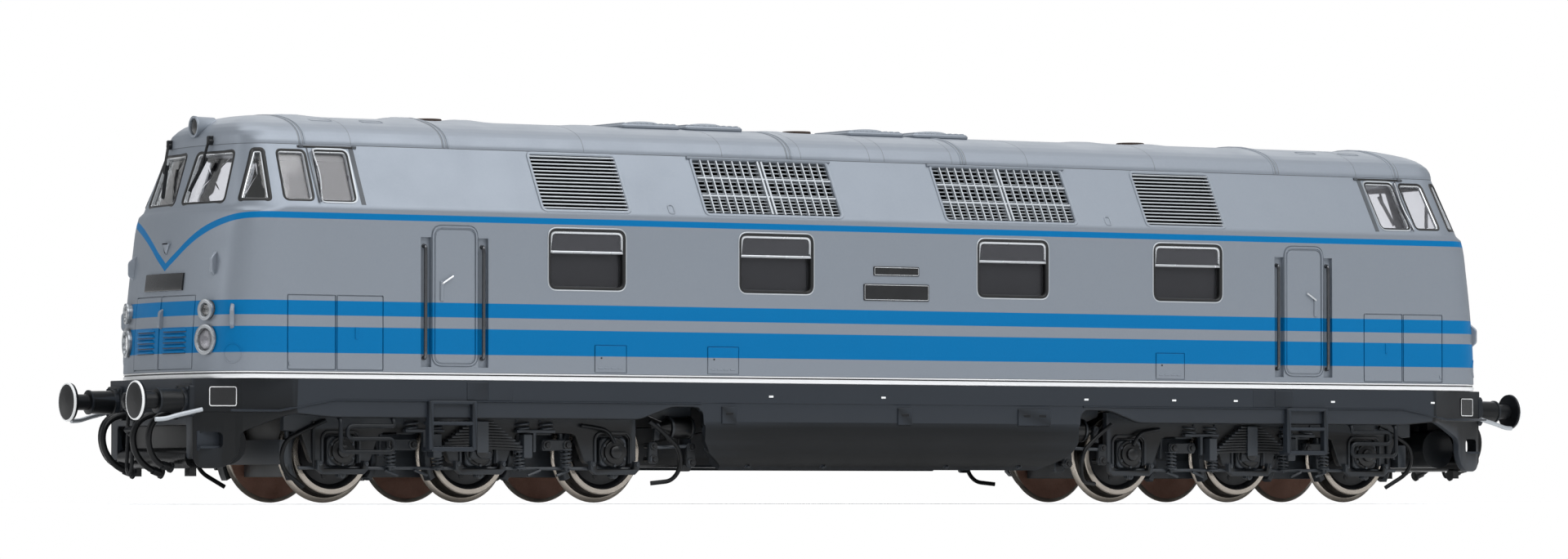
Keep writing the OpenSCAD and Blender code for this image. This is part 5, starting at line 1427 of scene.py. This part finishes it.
def bogie_side():
    """Solids of one bogie side in the bogie's own place: plate, beads, boxes, ties, links, coils."""
    y = SIDE_OUT
    out = [plate(bogie_side_outline(), y - 1.1, y, "y", "bogie", 0.08)]
    springs = []
    for x in (-AXLE_GAP, 0, AXLE_GAP):
        guide = [(x - 2.75, y, 4.3), (x - 2.75, y, 7.7), (x - 2.2, y, 8.35), (x + 2.2, y, 8.35),
                 (x + 2.75, y, 7.7), (x + 2.75, y, 4.3)]
        out.append(carry(oblong(0, 0, 0.34, 0.5, 0.08, 2), soften(guide, 0.5, 4), (0, 1, 0), "bogie"))
        out.append(block((x - 2.5, x + 2.5), (y - 1.4, y - 0.9), (4.1, 8.1), "bogie"))
        out.append(plate(oblong(x, TREAD, 4.1, 4.0, 0.9, 5), y - 1.0, y + 0.25, "y", "bogie", 0.15))
        box = [(-0.6, 0.05), (-0.6, 2.0), (0.45, 2.0), (0.55, 1.9), (0.55, 1.62), (0.8, 1.58), (0.86, 1.48),
               (0.86, 0.9), (1.2, 0.85), (1.28, 0.75), (1.3, 0.05)]
        out.append(turn(box, (x, y, TREAD), "y", "bogie", 32))
        for a in np.arange(6) * np.pi / 3 + 0.52:
            out.append(turn([(0.4, 0.05), (0.4, 0.19), (0.68, 0.19), (0.72, 0.05)],
                            (x + 1.78 * math.cos(a), y, TREAD + 1.78 * math.sin(a)), "y", "bogie", 6))
        tie = np.array([[-3.75, 4.5], [-3.75, 3.35], [-3.05, 2.72], [3.05, 2.72], [3.75, 3.35], [3.75, 4.5],
                        [3.15, 4.5], [2.8, 3.5], [-2.8, 3.5], [-3.15, 4.5]])
        out.append(plate(tie + [x, 0], y - 0.1, y + 0.85, "y", "bogie", 0.1))
        for s in (-1, 1):
            out.append(turn([(0.6, 0.05), (0.6, 0.28), (1.0, 0.28), (1.05, 0.05)], (x + s * 3.42, y, 4.1),
                            "y", "bogie", 6))
        out.append(block((x - 0.55, x + 0.55), (y - 0.4, y + 0.5), (2.35, 3.5), "bogie", 0.12))
        out.append(turn([(-0.3, 0.05), (-0.3, 0.4), (0.62, 0.38), (0.66, 0.05)], (x, y, 2.55), "y", "bogie",
                        14))
    out.append(tube([(-23.6, y - 0.5, 3.55), (26.5, y - 0.5, 3.55)], 0.24, "bogie", 0))
    for s in (-1, 1):
        mid = s * (AXLE_GAP / 2 + 1.4)
        springs.append(plate(oblong(mid, 6.65, 4.4, 1.5, 0.35, 4), y - 0.2, y + 0.55, "y", "bogie", 0.12))
        for dx in (-1.55, 1.55):
            springs.append(turn([(0.3, 0.05), (0.3, 0.62), (0.75, 0.6), (0.8, 0.5), (0.8, 0.34), (0.98, 0.3),
                                 (1.0, 0.05)],
                                (mid + dx, y, 6.65), "y", "bogie", 18))
        for x, low, r, high, turns in ((6.2, 3.7, 0.62, 5.6, 4.0), (13.3, 3.9, 0.62, 5.9, 4.0),
                                       (6.6, 8.75, 0.85, 9.85, 2.0), (10.2, 8.75, 0.85, 9.85, 2.0)):
            springs.append(coil((s * x, y + 0.15), r, 0.17, low, high, turns, "bogie"))
            if low < 5:
                springs.append(turn([(-1.8, 0.05), (-1.8, 0.26), (2.2, 0.26), (2.2, 0.05)],
                                    (s * x, y + 0.15, 5.0), "z", "bogie", 10))
                for z in (low - 0.25, high + 0.05):
                    springs.append(turn([(0, 0.05), (0, 0.85), (0.2, 0.85), (0.2, 0.05)],
                                        (s * x, y + 0.15, z), "z", "bogie", 18))
        springs.append(block((s * 8.4 - 2.9, s * 8.4 + 2.9), (y - 0.3, y + 0.8), (8.25, 8.7), "bogie", 0.1))
        springs.append(block((s * 6.85 - 0.62, s * 6.85 + 0.62), (y - 0.2, y + 1.35), (4.9, 8.1), "bogie",
                             0.12))
        springs.append(block((s * 8.3 - 0.2, s * 8.3 + 0.2), (y - 0.1, y + 0.5), (5.7, 8.3), "bogie", 0.05))
    leaves = 10
    for k in range(leaves):
        half = 6.7 - 4.9 * k / (leaves - 1)
        z = 6.05 + 0.385 * k
        x = np.linspace(-half, half, 13)
        path = np.stack([x, np.full(13, y + 0.6), z + 0.16 - 0.22 * (x / 6.7) ** 2], -1)
        springs.append(carry(oblong(0, 0, 1.0, 0.3, 0.06, 2), path, (0, 0, 1), "bogie"))
    springs.append(block((-0.85, 0.85), (y - 0.2, y + 1.35), (5.5, 9.85), "bogie", 0.15))
    springs.append(plate(oblong(0, 5.3, 3.2, 1.2, 0.5, 4), y, y + 1.0, "y", "bogie", 0.15))
    return out, springs


def make_bogies(look):
    """Both bogies: detailed sides, leaf springs, brake shoes with hangers, pipes over the boxes."""
    sides, springs = bogie_side()
    gear = []
    for x in (-AXLE_GAP, 0, AXLE_GAP):
        for s in (-1, 1):
            if x == -AXLE_GAP and s < 0:
                continue
            a = np.linspace(-0.5, 0.5, 9)
            r0, r1 = TREAD + 0.12, TREAD + 0.95
            arc = np.concatenate([np.stack([s * r0 * np.cos(a), r0 * np.sin(a)], -1),
                                  np.stack([s * r1 * np.cos(a), r1 * np.sin(a)], -1)[::-1]])
            gear.append(plate(arc + [x, TREAD - 0.6], 8.4, 10.2, "y", "bogie", 0.1))
            gear.append(tube([(x + s * (r1 + 0.1), 10.6, TREAD - 0.6), (x + s * (r1 + 0.3), 10.6, 9.6)], 0.3,
                             "bogie"))
    outer = [(23.0, 12.9, 9.75), (26.2, 12.9, 8.4), (28.7, 12.6, 7.1), (29.3, 12.4, 4.9), (28.5, 12.0, 3.0),
             (25.4, 11.2, 1.1)]
    gear.append(tube(outer, 0.3, "black", 1.4, sides=10))
    x = -AXLE_GAP
    gear.append(tube([(x + 5.0, SIDE_OUT + 0.4, 9.3), (x + 3.4, SIDE_OUT + 0.7, 9.1),
                      (x + 1.2, SIDE_OUT + 0.9, 8.7), (x + 0.2, SIDE_OUT + 0.95, 7.0)], 0.26, "black", 1.0))
    gear.append(tube([(24.6, SIDE_OUT + 0.2, 9.6), (24.6, SIDE_OUT + 0.2, 3.6)], 0.22, "black"))
    for s in (-1, 1):
        for x in (7.6, 12.0):
            gear.append(tube([(s * x, SIDE_OUT - 0.1, 2.6), (s * (x + 1.9), SIDE_OUT - 0.1, 3.3)], 0.2,
                             "bogie"))
    for body, way in (("front_bogie", -1), ("rear_bogie", 1)):
        half_turn = np.array([way, way, 1.0])
        place = [way * PIVOT, 0, 0]
        for name, solids, node in (("side_detail", sides, f"{body}_sides"),
                                   ("spring_detail", springs, f"{body}_springs"),
                                   ("brake_detail", gear, f"{body.split('_')[0]}_brake_gear")):
            both = copies(solids, ends=False)
            build(f"{body}_{name}", body, "bogie_plastic",
                  [(v * half_turn + place, f, p) for v, f, p in both], (node,))


def make_brake_cylinders(look):
    """Brake cylinders beside the tank: turned bodies, levers with bosses, push rods, bent pipes."""
    x = PIVOT - 27.0  # end of the can that its rod leaves
    can = [(0.2, 0.05), (0.2, 0.32), (0.0, 0.34), (-0.2, 0.42), (-1.7, 1.2), (-1.75, 1.62), (-2.05, 1.64),
           (-2.1, 1.45), (-4.9, 1.45), (-5.0, 1.55), (-5.3, 1.5), (-5.55, 1.2), (-5.7, 0.05)]
    out = [turn(can, (x, 13.0, 9.06), "x", "bogie", 32)]
    out.append(plate(rounded([[x - 6.0, 12.6], [x - 6.0, 3.2], [x - 4.2, 3.2], [x - 3.9, 9], [x + 1.5, 11.0],
                              [x + 1.5, 12.6]], 0.5), 11.6, 12.3, "y", "bogie", 0.08))
    for u, top, low in ((1.0, 6.6, 4.8), (-4.9, 6.5, 4.4)):
        lever = rounded([[x + u - 0.75, low - 0.6], [x + u + 0.75, low - 0.6], [x + u + 0.62, top + 0.55],
                         [x + u - 0.62, top + 0.55]], 0.6)
        out.append(plate(lever, 13.45, 14.15, "y", "bogie", 0.12))
        for z, r in ((top, 0.52), (low, 0.62)):
            out.append(turn([(-2.0, 0.05), (-2.0, r * 0.6), (0.2, r * 0.6), (0.2, r), (0.42, r),
                             (0.48, r * 0.9),
                             (0.48, r * 0.5), (0.62, r * 0.42), (0.64, 0.05)], (x + u, 13.9, z), "y",
                            "bogie", 18))
    out.append(tube([(x + 1.0, 13.7, 6.4), (x - 4.9, 13.7, 6.6)], 0.24, "bogie"))
    out.append(plate(rounded([[x - 0.3, 7.4], [x + 0.7, 7.2], [x + 0.4, 9.7], [x - 0.2, 9.7]], 0.35), 12.8,
                     13.7, "y", "bogie", 0.1))
    out.append(turn([(-0.6, 0.05), (-0.6, 0.42), (0.5, 0.4), (0.52, 0.05)], (x + 0.15, 13.3, 9.2), "y",
                    "bogie", 14))
    out.append(tube([(x + 2.0, 14.75, 9.9), (x - 0.4, 14.75, 8.2), (x - 2.6, 14.75, 6.3),
                     (x - 3.0, 14.6, 4.4),
                     (x - 2.7, 14.2, 2.9), (x - 1.9, 13.6, 1.9), (x + 0.6, 12.6, 1.6)], 0.3, "black", 1.2,
                    sides=10))
    build("brake_rigging", "chassis", "frame_plastic", copies(out), ("brake_cylinders",))


BUFFER_Y, BUFFER_Z = 10.06, 12.2


def make_end_fittings(look):
    """Buffers, hooks with their links, levers, hoses, door steps and serpentine climbing bars.

    A hose is a cubic curve of four points with a circle carried along it, and a climbing bar is
    a circle carried along a rounded zigzag.
    """
    out = []
    y, z = BUFFER_Y, BUFFER_Z
    out.append(plate(oblong(y, z, 4.2, 4.2, 0.5, 4), BEAM - 0.3, BEAM + 0.45, "x", "frame", 0.1))
    for a in (-1, 1):
        for b in (-1, 1):
            out.append(turn([(0, 0.05), (0, 0.24), (0.28, 0.24), (0.3, 0.05)],
                            (BEAM + 0.4, y + a * 1.6, z + b * 1.6), "x", "frame", 6))
    reach = node_box("buffers")[1][0] - BEAM
    sleeve = [(0.3, 0.05), (0.3, 1.75), (0.9, 1.72), (1.0, 1.55), (3.9, 1.5), (4.0, 1.62), (4.25, 1.62),
              (4.3, 1.3), (4.35, 1.05), (reach - 0.9, 1.05), (reach - 0.85, 1.5), (reach - 0.72, 2.3),
              (reach - 0.7, 2.5)]
    out.append(turn(sleeve, (BEAM, y, z), "x", "frame", 36))
    back = [(-0.72, 0.05), (-0.72, 2.2), (-0.62, 2.5), (-0.38, 2.55), (-0.36, 0.05)]
    out.append(turn(back, (BEAM + reach, y, z), "x", "black", 48))
    edge = [(-0.4, 2.3), (-0.4, 2.54), (-0.24, 2.55), (-0.12, 2.5), (-0.1, 2.36), (-0.16, 2.3)]
    out.append(turn(edge, (BEAM + reach, y, z), "x", "white", 48))
    face = [(-0.38, 0.05), (-0.38, 2.38), (-0.13, 2.38), (-0.08, 1.6), (-0.02, 0.8), (0.0, 0.05)]
    out.append(turn(face, (BEAM + reach, y, z), "x", "black", 48))
    build("buffer_pair", "chassis", "buffer_black", copies(out), ("buffers",))

    hook = rounded([[0, 11.5], [1.6, 11.5], [2.2, 10.9], [3.1, 10.7], [3.9, 11.3], [4.2, 12.4], [3.8, 13.4],
                    [3.2, 13.2], [3.4, 12.4], [2.9, 11.9], [2.3, 12.2], [1.7, 12.9], [0, 12.9]], 0.3)
    drag = [plate(oblong(0, BUFFER_Z, 3.4, 3.0, 0.6, 4), BEAM - 0.3, BEAM + 0.5, "x", "frame", 0.12),
            plate(hook + [BEAM, 0], -0.5, 0.5, "y", "black", 0.15)]
    link = [(BEAM + 2.6, -0.95, 12.0), (BEAM + 2.9, -0.95, 8.6), (BEAM + 3.0, 0, 7.6),
            (BEAM + 2.9, 0.95, 8.6), (BEAM + 2.6, 0.95, 12.0)]
    drag.append(tube(link, 0.26, "black", 0.8))
    drag.append(tube([(BEAM + 2.9, -1.2, 8.5), (BEAM + 2.9, 1.2, 8.5)], 0.42, "black"))
    low = [(BEAM + 2.9, -0.75, 8.5), (BEAM + 3.1, -0.75, 3.4), (BEAM + 3.1, 0.0, 2.5),
           (BEAM + 3.1, 0.75, 3.4), (BEAM + 2.9, 0.75, 8.5)]
    drag.append(tube(low, 0.26, "black", 0.9))
    build("coupling_hooks", "chassis", "detail_plastic", copies(drag, sides=False), ("drawgear",))

    lever = [(NOSE + 6.5, 12.4, 9.75), (NOSE + 5.2, 12.7, 9.8), (NOSE + 3.6, 12.85, 10.27),
             (NOSE + 0.2, 13.3, 11.05)]
    build("uncoupling_levers", "chassis", "detail_plastic",
          copies([tube(lever, 0.3, "trim_lacquer", 0.8, sides=12)]))

    pipes, top = [], 10.4
    t = np.linspace(0, 1, 22)[:, None]
    for y, reach, drop in ((-7.2, 4.4, 0.4), (-4.6, 5.6, 1.2), (4.6, 5.6, 1.2), (7.2, 4.4, 0.4)):
        key = np.array([[BEAM + 0.2, y, top], [BEAM + reach * 1.15, y, top + 0.9],
                        [BEAM + reach * 1.05, y * 0.96, top - 6.4], [BEAM + 0.9, y * 0.9, 4.2 - drop]])
        path = ((1 - t) ** 3 * key[0] + 3 * t * (1 - t) ** 2 * key[1] + 3 * t ** 2 * (1 - t) * key[2]
                + t ** 3 * key[3])
        pipes.append(tube(path, 0.42, "black", 0, sides=12))
        pipes.append(turn([(-0.3, 0.05), (-0.3, 0.62), (0.9, 0.62), (1.0, 0.5), (1.0, 0.05)],
                          key[0] - [0.3, 0, 0], "x", "black", 16))
        way = path[-1] - path[-3]
        pipes.append(turn([(-0.2, 0.05), (-0.2, 0.56), (0.9, 0.56), (1.0, 0.72), (1.3, 0.72), (1.35, 0.05)],
                          path[-2], way, "black", 14))
        pipes.append(tube([(BEAM + 0.2, y, top), (BEAM + 0.9, y, top + 0.2),
                           (BEAM + 1.0, y + 0.9, top + 0.9)], 0.16,
                          "black", 0.2))
    build("brake_hoses", "chassis", "detail_plastic", copies(pipes, sides=False), ("hoses",))

    steps = []
    x = DOOR_X + 0.4
    for s in (-1, 1):
        cheek = rounded([[x + s * 3.25 - 0.35, 5.9], [x + s * 3.25 + 0.35, 5.9], [x + s * 3.25 + 0.35, 12.3],
                         [x + s * 3.25 - 0.35, 12.3]], 0.25, 3)
        steps.append(plate(cheek, FRAME_HALF - 0.6, HALF + 0.45, "y", "frame", 0.1))
    steps += bars([(x - 3.2, x + 3.2, 15.6, HALF + 0.42, 9.15, 9.62),
                   (x - 3.2, x + 3.2, 15.4, HALF + 0.42, 5.72, 6.3),
                   (x - 3.2, x + 3.2, HALF - 0.1, HALF + 0.42, 11.9, 12.35)], "frame", 0.1)
    for k in range(9):
        u = x - 2.8 + 0.7 * k
        steps += bars([(u - 0.08, u + 0.08, 15.7, HALF + 0.2, 9.6, 9.7),
                       (u - 0.08, u + 0.08, 15.6, HALF + 0.2, 6.27, 6.38)],
                      "frame", 0.02)
    build("door_ladders", "chassis", "frame_plastic", copies(steps), ("door_steps",))

    x = 81.5
    snake = [(x + 3.9, 16.2, 10.3), (x + 3.9, 17.05, 9.7), (x + 3.9, 17.05, 5.62), (x - 3.9, 17.05, 5.62),
             (x - 3.9, 17.05, 7.34), (x + 2.9, 17.05, 7.34), (x + 2.9, 17.05, 9.0), (x - 3.9, 17.05, 9.0),
             (x - 3.9, 17.05, 9.7), (x - 3.9, 16.2, 10.3)]
    path = soften(snake, 0.85, 6)
    bar = [carry(circle(0.3, 10), path, (0, 1, 0.02), "frame")]
    build("climbing_bars", "chassis", "frame_plastic", copies(bar), ("climbing_loops",))


def make_skirt_details(look):
    """The ridge and raised panels of the skirts, plates on the tank and small printed marks."""
    out = []
    y = FRAME_HALF
    for x0, x1, z0, z1, up in ((63.8, 66.9, 12.5, 14.8, 0.1), (60.0, 63.7, 12.4, 14.9, 0.05)):
        out.append(plate(rect(x0, z0, x1, z1), y - 0.2, y + up, "y", "frame", 0.05))
    ridge = carry([[-0.16, -0.2], [0.16, -0.2], [0.05, 0.09], [-0.05, 0.09]],
                  [(31.0, y, 12.3), (86.4, y, 12.3), (94.5, y, 10.9), (101.5, y, 10.9)], (0, 1, 0), "frame")
    out.append(ridge)
    build("skirt_details", "chassis", "frame_plastic", copies(out))
    tank = []
    for x, w, slots in ((-26.6, 2.3, (0,)), (1.5, 2.3, (0,)), (22.8, 5.4, (-1.3, 1.3))):
        tank.append(plate(oblong(x, 10.75, w, 2.3, 0.15, 3), y - 0.4, y + 0.1, "y", "frame", 0.06))
        for dx in slots:
            tank.append(plate(oblong(x + dx, 10.95, 1.2, 0.36, 0.1, 2), y, y + 0.14, "y", "black", 0.04))
    for x in (-22, -10, 10, 22):
        tank.append(turn([(-0.5, 0.05), (-0.5, 0.55), (0.1, 0.5), (0.14, 0.3), (0.3, 0.28), (0.32, 0.05)],
                         (x, 14.6, 4.0), (0, 0.6, -0.8), "frame", 14))
    build("tank_details", "chassis", "frame_plastic", copies(tank, ends=False))
    marks = []
    for x in (91.8, 74.0, 57.0, 46.4, 31.5, -2.0, -20):
        marks.append(plate(oblong(x, 13.3, 0.7, 0.26, 0.05, 2), y - 0.05, y + 0.015, "y", "white", 0.005))
    build("printed_marks", "chassis", "frame_plastic", copies(marks, ends=False))


# ---------------- stage


def make_stage(look):
    """Floor, four soft lamps, a surround that looks white to the camera alone, and the camera."""
    scene = bpy.context.scene
    reach = 3.0
    t = np.linspace(-reach, reach, 3)
    x, y = np.meshgrid(t, t)
    grid = np.stack([x, y, np.full_like(x, -0.0002)], -1)
    mesh = bpy.data.meshes.new("floor_sheet")
    mesh.from_pydata(grid.reshape(-1, 3).tolist(), [], grid_quads(3, 3, False, False)[:, ::-1].tolist())
    if mesh.polygons[0].normal.z < 0:
        mesh.flip_normals()
    floor = bpy.data.objects.new("floor_sheet", mesh)
    scene.collection.objects.link(floor)
    paper = bpy.data.materials.new("Pale matt studio paper")
    paper.use_nodes = True
    tree = paper.node_tree
    shader = tree.nodes["Principled BSDF"]
    place = add_node(tree, "TexCoord").outputs["Object"]
    fibre = add_node(tree, "TexNoise", {"Vector": place}, {"Scale": 1 / (2.0 * MM)})
    tone = add_node(tree, "Mix", {"Factor": fibre.outputs[0]},
                    {"A": linear("#fbfbfb"), "B": linear("#f6f6f5")}, data_type="RGBA")
    tree.links.new(tone.outputs["Result"], shader.inputs["Base Color"])
    shader.inputs["Roughness"].default_value = 0.9
    ray = add_node(tree, "LightPath").outputs
    seen = add_node(tree, "Math", {0: ray["Is Camera Ray"], 1: ray["Is Glossy Ray"]},
                    operation="MAXIMUM").outputs[0]
    seen = add_node(tree, "Math", {0: seen, 1: ray["Is Transmission Ray"]}, operation="MAXIMUM").outputs[0]
    oval = add_node(tree, "Mapping", {"Vector": place}, {"Scale": (1 / 0.3, 1 / 0.24, 1)}).outputs[0]
    away = add_node(tree, "VectorMath", {0: oval}, operation="LENGTH").outputs["Value"]
    away = add_node(tree, "MapRange", {"Value": away}, {"From Min": 0.4, "From Max": 1.0}).outputs[0]
    away = add_node(tree, "Math", {0: away, 1: seen}, operation="MULTIPLY").outputs[0]
    white = add_node(tree, "Emission", None, {"Color": (1, 1, 1, 1), "Strength": 1.0})
    both = add_node(tree, "MixShader", {0: away, 1: shader.outputs[0], 2: white.outputs[0]})
    tree.links.new(both.outputs[0], tree.nodes["Material Output"].inputs["Surface"])
    mesh.materials.append(paper)
    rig.stage(floor)

    world = bpy.data.worlds.new("studio")
    world.use_nodes = True
    tree = world.node_tree
    tree.nodes.clear()
    ray = add_node(tree, "LightPath").outputs
    seen = add_node(tree, "Math", {0: ray["Is Camera Ray"], 1: ray["Is Transmission Ray"]},
                    operation="MAXIMUM").outputs[0]
    soft = add_node(tree, "Background", None, {"Color": linear("#eef1f5"), "Strength": look.fill_light})
    white = add_node(tree, "Background", None, {"Color": (1, 1, 1, 1), "Strength": 1.0})
    both = add_node(tree, "MixShader", {0: seen, 1: soft.outputs[0], 2: white.outputs[0]})
    add_node(tree, "OutputWorld", {"Surface": both.outputs[0]})
    scene.world = world

    # Name, place, point aimed at, width and length in metres, and power.
    lamps = (
        ("key_softbox", (0.0, -0.5, 0.55), (0, 0, 0.03), (1.0, 0.45), look.key_light),
        ("top_softbox", (0.05, 0.05, 0.75), (0, 0, 0.0), (1.0, 0.5), look.top_light),
        ("nose_softbox", (-0.7, 0.3, 0.3), (0, 0, 0.03), (0.35, 0.4), look.nose_light),
        ("back_softbox", (0.35, 0.6, 0.5), (0, 0, 0.03), (0.8, 0.5), look.back_light),
    )
    for name, place, aim, size, power in lamps:
        data = bpy.data.lights.new(name, "AREA")
        data.shape, data.size, data.size_y, data.energy = "RECTANGLE", size[0], size[1], power
        lamp = bpy.data.objects.new(name, data)
        scene.collection.objects.link(lamp)
        way = np.array(place) - np.array(aim)
        lamp.location = place
        lamp.rotation_euler = (math.atan2(math.hypot(way[0], way[1]), way[2]), 0, math.atan2(way[0], -way[1]))

    data = bpy.data.cameras.new("camera")
    data.lens, data.sensor_width, data.clip_start, data.clip_end = 151.97, 36.0, 0.01, 20.0
    camera = bpy.data.objects.new("camera", data)
    scene.collection.objects.link(camera)
    # Placed and turned so that the near nose and the whole side come into view, 2 degrees up.
    camera.location = (-488.545 * MM, -778.533 * MM, (-0.303 + RAIL) * MM)
    camera.rotation_euler = Euler((math.radians(90 + 1.885), 0, math.radians(-31.727)))
    scene.camera = camera
    scene.view_settings.view_transform = "Standard"


# ---------------- add-on classes


class LocoFinish(bpy.types.PropertyGroup):
    """Colours and light of the model"""
    body_grey: StringProperty(name="Body grey", description="Main tone of the body lacquer",
                              default="#8b929b")
    body_shade: StringProperty(name="Body shade", description="Darker tone of the body lacquer",
                               default="#828992")
    stripe_blue: StringProperty(name="Stripe blue", description="Tone of the printed stripes",
                                default="#006aa3")
    stripe_shade: StringProperty(name="Stripe shade", description="Darker tone of the stripes",
                                 default="#00659a")
    frame_black: StringProperty(name="Frame black", description="Tone of the underframe", default="#0d1013")
    frame_shade: StringProperty(name="Frame shade", description="Darker tone of the underframe",
                                default="#0a0c0e")
    bogie_black: StringProperty(name="Bogie black", description="Tone of the bogies", default="#0b0c0e")
    bogie_shade: StringProperty(name="Bogie shade", description="Darker tone of the bogies",
                                default="#070809")
    key_light: FloatProperty(name="Key lamp", description="Power of the key lamp in watts", default=4.2,
                             min=0)
    top_light: FloatProperty(name="Top lamp", description="Power of the top lamp in watts", default=3.4,
                             min=0)
    nose_light: FloatProperty(name="Nose lamp", description="Power of the nose lamp in watts", default=0.65,
                              min=0)
    back_light: FloatProperty(name="Back lamp", description="Power of the back lamp in watts", default=1.2,
                              min=0)
    fill_light: FloatProperty(name="Fill", description="Strength of the surround", default=0.42, min=0)


STEPS = (
    ("paints", "Finishes", mix_paints),
    ("shell", "Body skin", make_shell),
    ("roof", "Roof skin", make_roof),
    ("roof_fittings", "Roof fittings", make_roof_fittings),
    ("cab_glazing", "Cab glazing", make_cab_glazing),
    ("engine_windows", "Engine-room windows", make_engine_windows),
    ("grilles", "Grilles", make_grilles),
    ("nose_fittings", "Nose fittings, lamps, wipers and plates", make_nose_fittings),
    ("doors", "Doors and rails", make_doors),
    ("trim_lines", "Sill strip, roof joint and cab shades", make_trim_lines),
    ("underframe", "Underframe and tank", make_underframe),
    ("wheelsets", "Wheelsets", make_wheelsets),
    ("bogies", "Bogies", make_bogies),
    ("brake_cylinders", "Brake cylinders", make_brake_cylinders),
    ("end_fittings", "Buffers, hooks, hoses and steps", make_end_fittings),
    ("skirt_details", "Skirt and tank details", make_skirt_details),
    ("cad_finishes", "Finishes of the CAD parts that stay", finish_all_cad),
    ("stage", "Stage", make_stage),
)


def operator_for(key, label, work):
    """An operator class that makes one piece or group of like pieces."""
    def execute(self, context):
        work(context.scene.loco_finish)
        return {"FINISHED"}
    return type(f"LOCO_OT_{key}", (bpy.types.Operator,),
                {"bl_idname": f"loco.{key}", "bl_label": label, "__doc__": work.__doc__, "execute": execute})


class LOCO_PT_panel(bpy.types.Panel):
    """Lists the finish settings and the pieces in the sidebar"""
    bl_label = "Locomotive"
    bl_space_type = "VIEW_3D"
    bl_region_type = "UI"
    bl_category = "Locomotive"

    def draw(self, context):
        for key in LocoFinish.__annotations__:
            self.layout.prop(context.scene.loco_finish, key)
        for key, label, _ in STEPS:
            self.layout.operator(f"loco.{key}", text=label)


CLASSES = [LocoFinish, *(operator_for(*step) for step in STEPS), LOCO_PT_panel]


def register():
    """Adds the classes and the scene's finish settings."""
    for cls in CLASSES:
        bpy.utils.register_class(cls)
    bpy.types.Scene.loco_finish = PointerProperty(type=LocoFinish)


def unregister():
    """Takes the classes and the settings away again."""
    del bpy.types.Scene.loco_finish
    for cls in reversed(CLASSES):
        bpy.utils.unregister_class(cls)


def main():
    """Registers the add-on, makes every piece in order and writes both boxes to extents.json."""
    register()
    for key, _, _ in STEPS:
        getattr(bpy.ops.loco, key)()
    with open("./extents.json", "w") as out:
        json.dump({"cad": CAD_BOX, "visual": [list(map(float, c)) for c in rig.bounds()]}, out)


if __name__ == "__main__":
    main()
